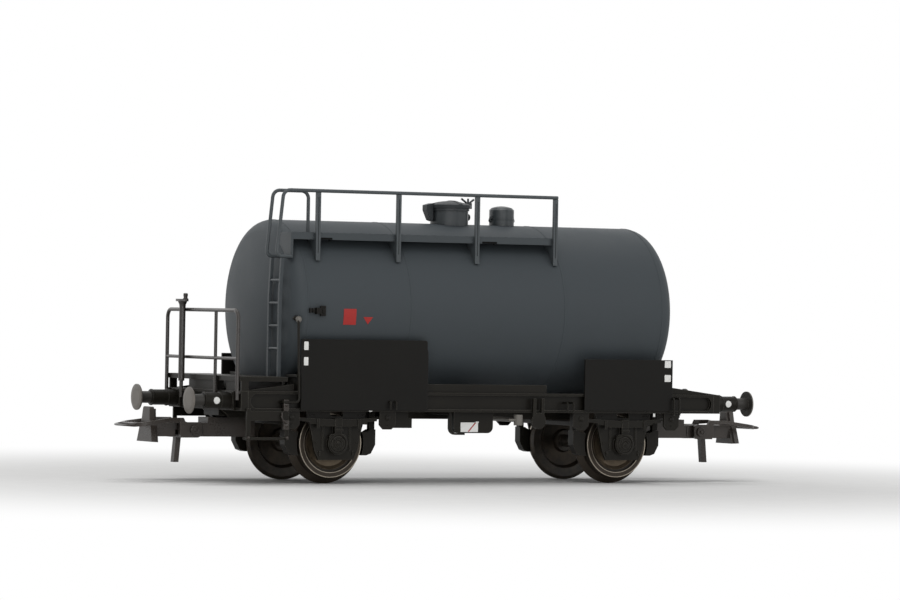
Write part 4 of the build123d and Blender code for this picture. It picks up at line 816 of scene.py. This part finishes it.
# Outline of the plate above each box, from the axle's middle
BOX_LID = ((-1.55, 1.1), (-1.15, 1.5), (1.15, 1.5), (1.55, 1.1), (1.35, 0.75), (-1.35, 0.75))
LID_INSET = 0.12
COVER_FACE = BOX_FACE + 0.15
COVER_RING = ((0.72, -0.02), (0.72, 0.06), (0.64, 0.10), (0.56, 0.08), (0.50, 0.03),
              (0.20, 0.03))
COVER_BOSS = ((0.34, 0.0), (0.34, 0.10), (0.26, 0.19), (0.04, 0.21))
COVER_BOLT = ((0.14, -0.02), (0.14, 0.08), (0.10, 0.11), (0.02, 0.11))
BOLT_CIRCLE = 0.92
GUARD_FACE = 12.0
# Rows: distance from the axle's middle, height
GUARD_RIVETS = ((4.6, 9.9), (3.9, 9.9), (4.0, 7.4), (3.6, 5.6), (3.2, 4.1))
GUARD_RIVET = (0.13, 0.09)
RIB_X = 2.9
GUARD_RIB = (0.12, 3.5, 4.3, 0.1)


def make_axlebox_details():
    """Raised rings, cover boss and bolts on each axlebox, and rivets and ribs on the guards."""
    shape = Shape()
    for x in AXLES:
        cover = (x, -COVER_FACE, AXLE)
        shape.lathe((x, -BOX_FACE, AXLE), NEARWARD, BOX_RING, 36)
        shape.lathe(cover, NEARWARD, COVER_RING, 28)
        shape.lathe(cover, NEARWARD, COVER_BOSS, 18)
        for k in range(4):
            angle = radians(45 + 90 * k)
            bolt = (x + BOLT_CIRCLE * cos(angle), -COVER_FACE, AXLE + BOLT_CIRCLE * sin(angle))
            shape.lathe(bolt, NEARWARD, COVER_BOLT, 6)
        shape.slab([(x + across, AXLE + up) for across, up in BOX_LID], on_side(-GUARD_FACE),
                   0.0, BOX_FACE - GUARD_FACE - LID_INSET)
        for way in (-1, 1):
            for side, height in GUARD_RIVETS:
                shape.lathe((x + way * side, -GUARD_FACE, height), NEARWARD,
                            dome(*GUARD_RIVET), 10)
            shape.slab(upright(x + way * RIB_X, *GUARD_RIB), on_side(-GUARD_FACE), -0.02, 0.16)
    shape.mirrored(ACROSS)
    shape.make("axlebox_details", "frame_black", sharp=40)


PLATE_FACE = 43.55
PLATE_BOLT = ((0.21, -0.02), (0.21, 0.10), (0.16, 0.14), (0.03, 0.14))
PLATE_BOLT_SPREAD = 1.18
PLATE_BOLT_TURN = 0.3
CASE_START = 45.35
CASE_END = 48.0
CASE_COLLAR = ((1.0, -0.30), (1.26, -0.28), (1.30, -0.22), (1.30, -0.04), (1.25, 0.03),
               (1.10, 0.05), (0.97, 0.05), (0.97, -0.05))
CASE_FOOT = ((1.25, -0.20), (1.36, -0.16), (1.36, -0.02), (1.28, 0.06), (1.20, 0.08))


def make_buffer_details():
    """Bolts on the buffer plates, and a collar and a foot round each case."""
    shape = Shape()
    for y in (-BUFFER_Y, BUFFER_Y):
        for up in (-1, 1):
            for across in (-1, 1):
                bolt = (PLATE_FACE, y + across * PLATE_BOLT_SPREAD,
                        BUFFER_Z + up * PLATE_BOLT_SPREAD)
                shape.lathe(bolt, RIGHTWARD, PLATE_BOLT, 6, start=PLATE_BOLT_TURN)
        shape.lathe((CASE_END, y, BUFFER_Z), RIGHTWARD, CASE_COLLAR, 36)
        shape.lathe((CASE_START, y, BUFFER_Z), RIGHTWARD, CASE_FOOT, 36)
    shape.mirrored(ALONG)
    shape.make("buffer_details", "frame_black", sharp=40)


PIN_X, PIN_Z = 46.0, 7.2
PIN_FACE = 3.0
PIN_RING = ((0.50, -0.02), (0.52, 0.05), (0.57, 0.08), (0.66, 0.08), (0.71, 0.04),
            (0.72, -0.02))
PIN_HEAD = ((0.30, -0.02), (0.29, 0.07), (0.22, 0.14), (0.11, 0.18), (0.02, 0.19))
ARM_SIDE = 1.85
ARM_RIB_X = 44.0
ARM_RIB = (0.16, 6.5, 8.0, 0.12)
# The nose is a half oval, thinner and lower towards its tip
NOSE_STEPS, NOSE_SEGMENTS = 24, 10
NOSE_POWER = 0.7
NOSE_START = 56.35 - 0.45
NOSE_REACH = 1.45 + 0.15
NOSE_HALF = 3.2 - 0.25
NOSE_WALL = 0.42
NOSE_THICK, NOSE_THINNER = 0.30, 0.13
NOSE_Z, NOSE_LOWER = 8.0, 0.10


def make_coupling_details():
    """Ring and domed end on each bow pin, a rib on each arm, and the bows' tapering noses."""
    for side, way in (("left", -1), ("right", 1)):
        pins = Shape()
        for y in (-1, 1):
            head = (way * PIN_X, y * PIN_FACE, PIN_Z)
            pins.lathe(head, (0, y, 0), PIN_RING, 30)
            pins.lathe(head, (0, y, 0), PIN_HEAD, 20)
        for y in (-1, 1):
            pins.slab(upright(way * ARM_RIB_X, *ARM_RIB),
                      lambda a, b, depth: (a, y * (ARM_SIDE + depth), b), -0.03, 0.12)
        pins.make("coupling_pins_" + side, "coupling_plastic",
                  body="coupling_" + side, sharp=40)

        nose = Shape()
        rings = []
        turns = [2 * pi * n / NOSE_SEGMENTS for n in range(NOSE_SEGMENTS)]
        for k in range(NOSE_STEPS + 1):
            angle = pi * k / NOSE_STEPS - pi / 2
            wide = abs(sin(angle)) ** NOSE_POWER * (1 if angle > 0 else -1)
            long = cos(angle) ** NOSE_POWER
            reach = NOSE_START + NOSE_REACH * long
            thick = NOSE_THICK - NOSE_THINNER * long
            centre = NOSE_Z - NOSE_LOWER * long
            ring = [(way * (reach + NOSE_WALL * cos(turn)), wide * NOSE_HALF,
                     centre + thick * sin(turn)) for turn in turns]
            rings.append(ring if way > 0 else ring[::-1])
        nose.loft(rings)
        nose.make("bow_nose_" + side, "coupling_plastic",
                  body="bow_" + side, sharp=50)


MANWAY_X = -0.26
# Cap on the manway's neck: from the manway's middle, Y, and below the neck's top
CAP_PLACE = (3.0, 0.4, 1.35)
CAP_AXIS = (1, 0.05, 0)
NECK_CAP = ((0.28, 0.0), (0.28, 0.22), (0.42, 0.26), (0.55, 0.42), (0.58, 0.62), (0.48, 0.84),
            (0.26, 0.95), (0.04, 0.98))
STRAP_SHIFT = 0.35
STRAP_STEPS = 14
STRAP_START, STRAP_LENGTH = -3.45, 6.9
STRAP_SECTION = ((-0.3, -0.08), (0.3, -0.08), (0.26, 0.10), (-0.26, 0.10))
LID_CROWN, LID_RADIUS = 0.65, 3.5
VENT_X, VENT_Z = 9.35, 41.75
VENT_SIDE, VENT_SHIFT = 1.92, 0.35
VENT_LUG = ((0.34, 0.0), (0.36, 0.10), (0.36, 0.30), (0.28, 0.40), (0.04, 0.43))
KNOB = (-33.7, -14.0, 24.85)
KNOB_AXIS = (0, 0.3, 1)
KNOB_PROFILE = ((0.22, -0.50), (0.34, -0.44), (0.36, -0.34), (0.45, -0.22), (0.50, 0.0),
                (0.45, 0.22), (0.32, 0.38), (0.14, 0.46), (0.02, 0.47))


def make_tank_details():
    """Cap and lid strap at the manway, lugs on the vent, and the grab rod's knob."""
    shape = Shape()
    neck_top = corners("manway_neck")[1].z / MM - LIFT
    shape.lathe((MANWAY_X + CAP_PLACE[0], CAP_PLACE[1], neck_top - CAP_PLACE[2]), CAP_AXIS,
                NECK_CAP, 22)
    lid_top = corners("manway_lid")[1].z / MM - LIFT
    strap = []
    for k in range(STRAP_STEPS + 1):
        y = STRAP_START + STRAP_LENGTH * k / STRAP_STEPS
        crown = lid_top - LID_CROWN * (y / LID_RADIUS) ** 2
        strap.append([(MANWAY_X + STRAP_SHIFT + across, y, crown + up)
                      for across, up in STRAP_SECTION])
    shape.loft(strap)
    for way in (-1, 1):
        shape.lathe((VENT_X + way * VENT_SIDE, way * VENT_SHIFT, VENT_Z), (way, 0, 0),
                    VENT_LUG, 18)
    shape.make("tank_fittings", "lid_grey", sharp=35)

    knob = Shape()
    knob.lathe(KNOB, KNOB_AXIS, KNOB_PROFILE, 22)
    knob.make("grab_rod_knob", "pale_plastic")


# Tread: short slanting bars in rows that lean by turns to one side and to the other
WALKWAY_INNER = -7.4
TREAD_START = (0.9, 0.55)
TREAD_END = (0.5, 0.2)
TREAD_STEP = (0.72, 0.7)
TREAD_OFFSET = 0.35
BAR_HALF_LENGTH, BAR_HALF_WIDTH, BAR_LEAN = 0.26, 0.045, 0.16
PLANK_END = -36.2
PLANKS = 9
PLANK_GAP, PLANK_SIDE = 0.05, 0.12
LIP_BOTTOM = 37.35
LIP_SLOTS = ((-29.1, -26.9), (-0.3, 2.4))
POSTS = (-29.6, -15.45, -1.4, 12.8)
# Rivets: how many, where they start along Y, their drop from the deck's top, radius and height
ROW_RIVETS, ROW_START, ROW_DROP, ROW_RIVET = 6, 0.5, 0.45, (0.12, 0.10)
COLUMN_RIVETS, COLUMN_START, COLUMN_DROP, COLUMN_RIVET = 5, 0.35, 1.1, (0.10, 0.08)
RIVET_STEP = 0.62
POST_RIVET = (0.11, 0.08)


def make_walkway_details():
    """Tread on the walkway, planks on the platform, and rivets and painted slots on the walkway's
    lip: the slots are dark plates that stand in for the shade inside them.

    The piece with the rivets also has a row and a column of them between the platform deck and
    the tank, at the deck's height.
    """
    low, high = corners("walkway_deck")
    left, right = low.x / MM, high.x / MM
    lip = low.y / MM
    inner = min(high.y / MM, WALKWAY_INNER)
    surface = on_top(high.z / MM - LIFT)
    tread = Shape()
    row = 0
    x = left + TREAD_START[0]
    while x < right - TREAD_END[0]:
        odd = row % 2
        lean = BAR_LEAN if odd else -BAR_LEAN
        y = lip + TREAD_START[1] + (TREAD_OFFSET if odd else 0.0)
        while y < inner - TREAD_END[1]:
            tread.slab([(x + BAR_HALF_LENGTH, y + lean - BAR_HALF_WIDTH),
                        (x + BAR_HALF_LENGTH, y + lean + BAR_HALF_WIDTH),
                        (x - BAR_HALF_LENGTH, y - lean + BAR_HALF_WIDTH),
                        (x - BAR_HALF_LENGTH, y - lean - BAR_HALF_WIDTH)],
                       surface, -0.01, 0.05)
            y += TREAD_STEP[1]
        x += TREAD_STEP[0]
        row += 1
    tread.make("walkway_tread", "walkway_grey")

    deck_low, deck_high = corners("platform_deck")
    start, end = deck_low.x / MM, min(deck_high.x / MM, PLANK_END)
    half = deck_high.y / MM
    deck_top = deck_high.z / MM - LIFT
    wide = (end - start) / PLANKS
    planks = Shape()
    for k in range(PLANKS):
        edge = start + k * wide
        planks.slab(rectangle(edge + PLANK_GAP, edge + wide - PLANK_GAP,
                              -half + PLANK_SIDE, half - PLANK_SIDE),
                    on_top(deck_top), -0.01, 0.07, bevel=0.05)
    planks.make("deck_planks", "frame_black")

    # Painted shade: each slot and its short drop are dark plates on the lip
    slots = Shape()
    for low_x, high_x in LIP_SLOTS:
        slots.slab(rectangle(low_x, high_x, LIP_BOTTOM + 0.02, LIP_BOTTOM + 0.34, radius=0.06),
                   on_side(lip), -0.02, 0.03)
        slots.slab(rectangle(high_x - 0.75, high_x - 0.45, LIP_BOTTOM - 0.12, LIP_BOTTOM + 0.2,
                             radius=0.06), on_side(lip), -0.02, 0.05)
    slots.make("walkway_slots", "slot_shade_black")

    rivets = Shape()
    for k in range(ROW_RIVETS):
        rivets.lathe((left, lip + ROW_START + RIVET_STEP * k, deck_top - ROW_DROP), LEFTWARD,
                     dome(*ROW_RIVET), 10)
    for k in range(COLUMN_RIVETS):
        rivets.lathe((left, lip + COLUMN_START, deck_top - COLUMN_DROP - RIVET_STEP * k),
                     LEFTWARD, dome(*COLUMN_RIVET), 10)
    for x in POSTS:
        for height in (LIP_BOTTOM + 0.3, LIP_BOTTOM + 0.8):
            for way in (-1, 1):
                rivets.lathe((x + way * RIVET_STEP, lip, height), NEARWARD,
                             dome(*POST_RIVET), 10)
    rivets.make("walkway_rivets", "walkway_grey")


STEP_FACE = 13.95
STEP_PLATES = ((-36.05, -35.15, 10.5, 12.3), (-36.0, -35.1, 7.6, 9.1))
# Columns: X, height, radius
STEP_BOLTS = ((-35.6, 11.5, 0.34), (-35.55, 8.3, 0.42), (-35.4, 6.35, 0.28),
              (-42.0, 6.35, 0.26))
# Rows: share of the radius, distance along the axis
STEP_BOLT = ((1.0, -0.30), (1.0, 0.16), (0.85, 0.26), (0.5, 0.33))
STEP_BOLT_TIP = (0.02, 0.36)
# Rows: X, distance from the step's face, height
HOOK_PATH = ((-36.35, 0.2, 10.3), (-36.5, 0.35, 9.7), (-36.3, 0.4, 9.1), (-35.9, 0.35, 8.8),
             (-35.5, 0.2, 8.6))
HOOK_RADIUS = 0.17


def make_step_details():
    """Hook plate, hook and bolts on the hangers of each left step."""
    shape = Shape()
    for outline in STEP_PLATES:
        shape.slab(rectangle(*outline, radius=0.15), on_side(-STEP_FACE), -0.3, 0.18,
                   bevel=0.05)
    for x, height, radius in STEP_BOLTS:
        profile = [(radius * share, reach) for share, reach in STEP_BOLT] + [STEP_BOLT_TIP]
        shape.lathe((x, -STEP_FACE, height), NEARWARD, profile, 18)
    shape.tube([(x, -STEP_FACE - reach, z) for x, reach, z in HOOK_PATH], HOOK_RADIUS)
    shape.mirrored(ACROSS)
    shape.make("step_hooks", "coupling_plastic", sharp=40)


FRAME_SIDE = 13.6
SOLEBAR_RIVETS = 32
SOLEBAR_START, SOLEBAR_RUN = -31.0, 62.0
SOLEBAR_RIVET_Z = 10.5 + 0.28
SOLEBAR_RIVET = (0.10, 0.07)
SPRING_FACE = 12.8
# Bars: half width, lowest and highest Z, corner radius
CLIP_X, SPRING_CLIP = 3.6, (0.22, 7.85, 9.3, 0.08)
SPRING_BUCKLE = (0.75, 7.4, 7.75, 0.08)
HANGER_X, HANGER_FACE = 8.4, SPRING_FACE + 0.4
HANGER_RING_Z, HANGER_PIN_Z = 9.5, 8.45
HANGER_RING = ((0.42, -0.02), (0.42, 0.12), (0.30, 0.20), (0.03, 0.22))
HANGER_PIN = (0.16, 0.12)
BUCKLE_BOLT_X, BUCKLE_BOLT_Z, BUCKLE_BOLT_FACE = 0.5, 9.62, SPRING_FACE + 0.14
BUCKLE_BOLT = (0.13, 0.12)


def make_frame_details():
    """Rivets along the solebars, and the clips, buckles and hanger pins of the leaf springs."""
    shape = Shape()
    for k in range(SOLEBAR_RIVETS):
        x = SOLEBAR_START + SOLEBAR_RUN * k / (SOLEBAR_RIVETS - 1)
        shape.lathe((x, -FRAME_SIDE, SOLEBAR_RIVET_Z), NEARWARD, dome(*SOLEBAR_RIVET), 8)
    for x in AXLES:
        for way in (-1, 1):
            shape.slab(upright(x + way * CLIP_X, *SPRING_CLIP), on_side(-SPRING_FACE),
                       -0.05, 0.14)
            hanger = x + way * HANGER_X
            shape.lathe((hanger, -HANGER_FACE, HANGER_RING_Z), NEARWARD, HANGER_RING, 18)
            shape.lathe((hanger, -HANGER_FACE, HANGER_PIN_Z), NEARWARD, dome(*HANGER_PIN), 12)
        shape.slab(upright(x, *SPRING_BUCKLE), on_side(-SPRING_FACE), -0.05, 0.22)
        for way in (-1, 1):
            shape.lathe((x + way * BUCKLE_BOLT_X, -BUCKLE_BOLT_FACE, BUCKLE_BOLT_Z), NEARWARD,
                        dome(*BUCKLE_BOLT), 10)
    shape.mirrored(ACROSS)
    shape.make("frame_details", "frame_black", sharp=40)


# Floor, in metres: its radius, and where it fades into the white background
FLOOR_RADIUS = 1.2
FLOOR_FADE = (0.055, 0.17)
FLOOR_GRAIN = 220.0
FLOOR_GREY = ((0.86, 0.86, 0.855, 1.0), (0.89, 0.89, 0.885, 1.0))


def make_floor():
    bpy.ops.mesh.primitive_circle_add(vertices=96, radius=FLOOR_RADIUS, fill_type="NGON",
                                      location=(0, 0, 0))
    floor = bpy.context.object
    floor.name = "floor"
    material, nodes = new_material("floor")
    place = nodes.add("ShaderNodeTexCoord").outputs["Object"]
    x, y = nodes.split(place)[:2]
    fade = nodes.add("ShaderNodeMapRange", interpolation_type="SMOOTHSTEP")
    for socket, value in zip(fade.inputs, (nodes.length(x, y), *FLOOR_FADE, 0.0, 1.0)):
        nodes.put(socket, value)
    matt = nodes.add("ShaderNodeBsdfDiffuse")
    colour = nodes.mix(nodes.spread(nodes.noise(place, FLOOR_GRAIN)), *FLOOR_GREY)
    nodes.link(colour, matt.inputs["Color"])
    glow = nodes.add("ShaderNodeEmission")
    glow.inputs["Color"].default_value = WHITE
    glow.inputs["Strength"].default_value = 1.0
    factor = nodes.math("MULTIPLY", fade.outputs[0], nodes.seen())
    output = nodes.add("ShaderNodeOutputMaterial")
    nodes.link(nodes.blend(factor, matt.outputs[0], glow.outputs[0]), output.inputs["Surface"])
    floor.data.materials.append(material)


def make_world():
    """White where it is seen, dimmer where it only lights the wagon."""
    world = bpy.data.worlds.new("world")
    bpy.context.scene.world = world
    world.use_nodes = True
    nodes = Nodes(world.node_tree)
    seen = nodes.seen()
    shades = []
    for strength in (WORLD_STRENGTH, 1.0):
        background = nodes.add("ShaderNodeBackground")
        background.inputs["Color"].default_value = WHITE
        background.inputs["Strength"].default_value = strength
        shades.append(background.outputs[0])
    output = nodes.add("ShaderNodeOutputWorld")
    nodes.link(nodes.blend(seen, *shades), output.inputs["Surface"])


bpy.context.scene.view_settings.view_transform = "Standard"
make_camera()
make_world()
make_lamps()
make_floor()
MATERIALS = make_materials()
dress_frame()
make_prints()
make_boards()
make_crank()
make_axlebox_details()
make_buffer_details()
make_coupling_details()
make_tank_details()
make_walkway_details()
make_step_details()
make_frame_details()
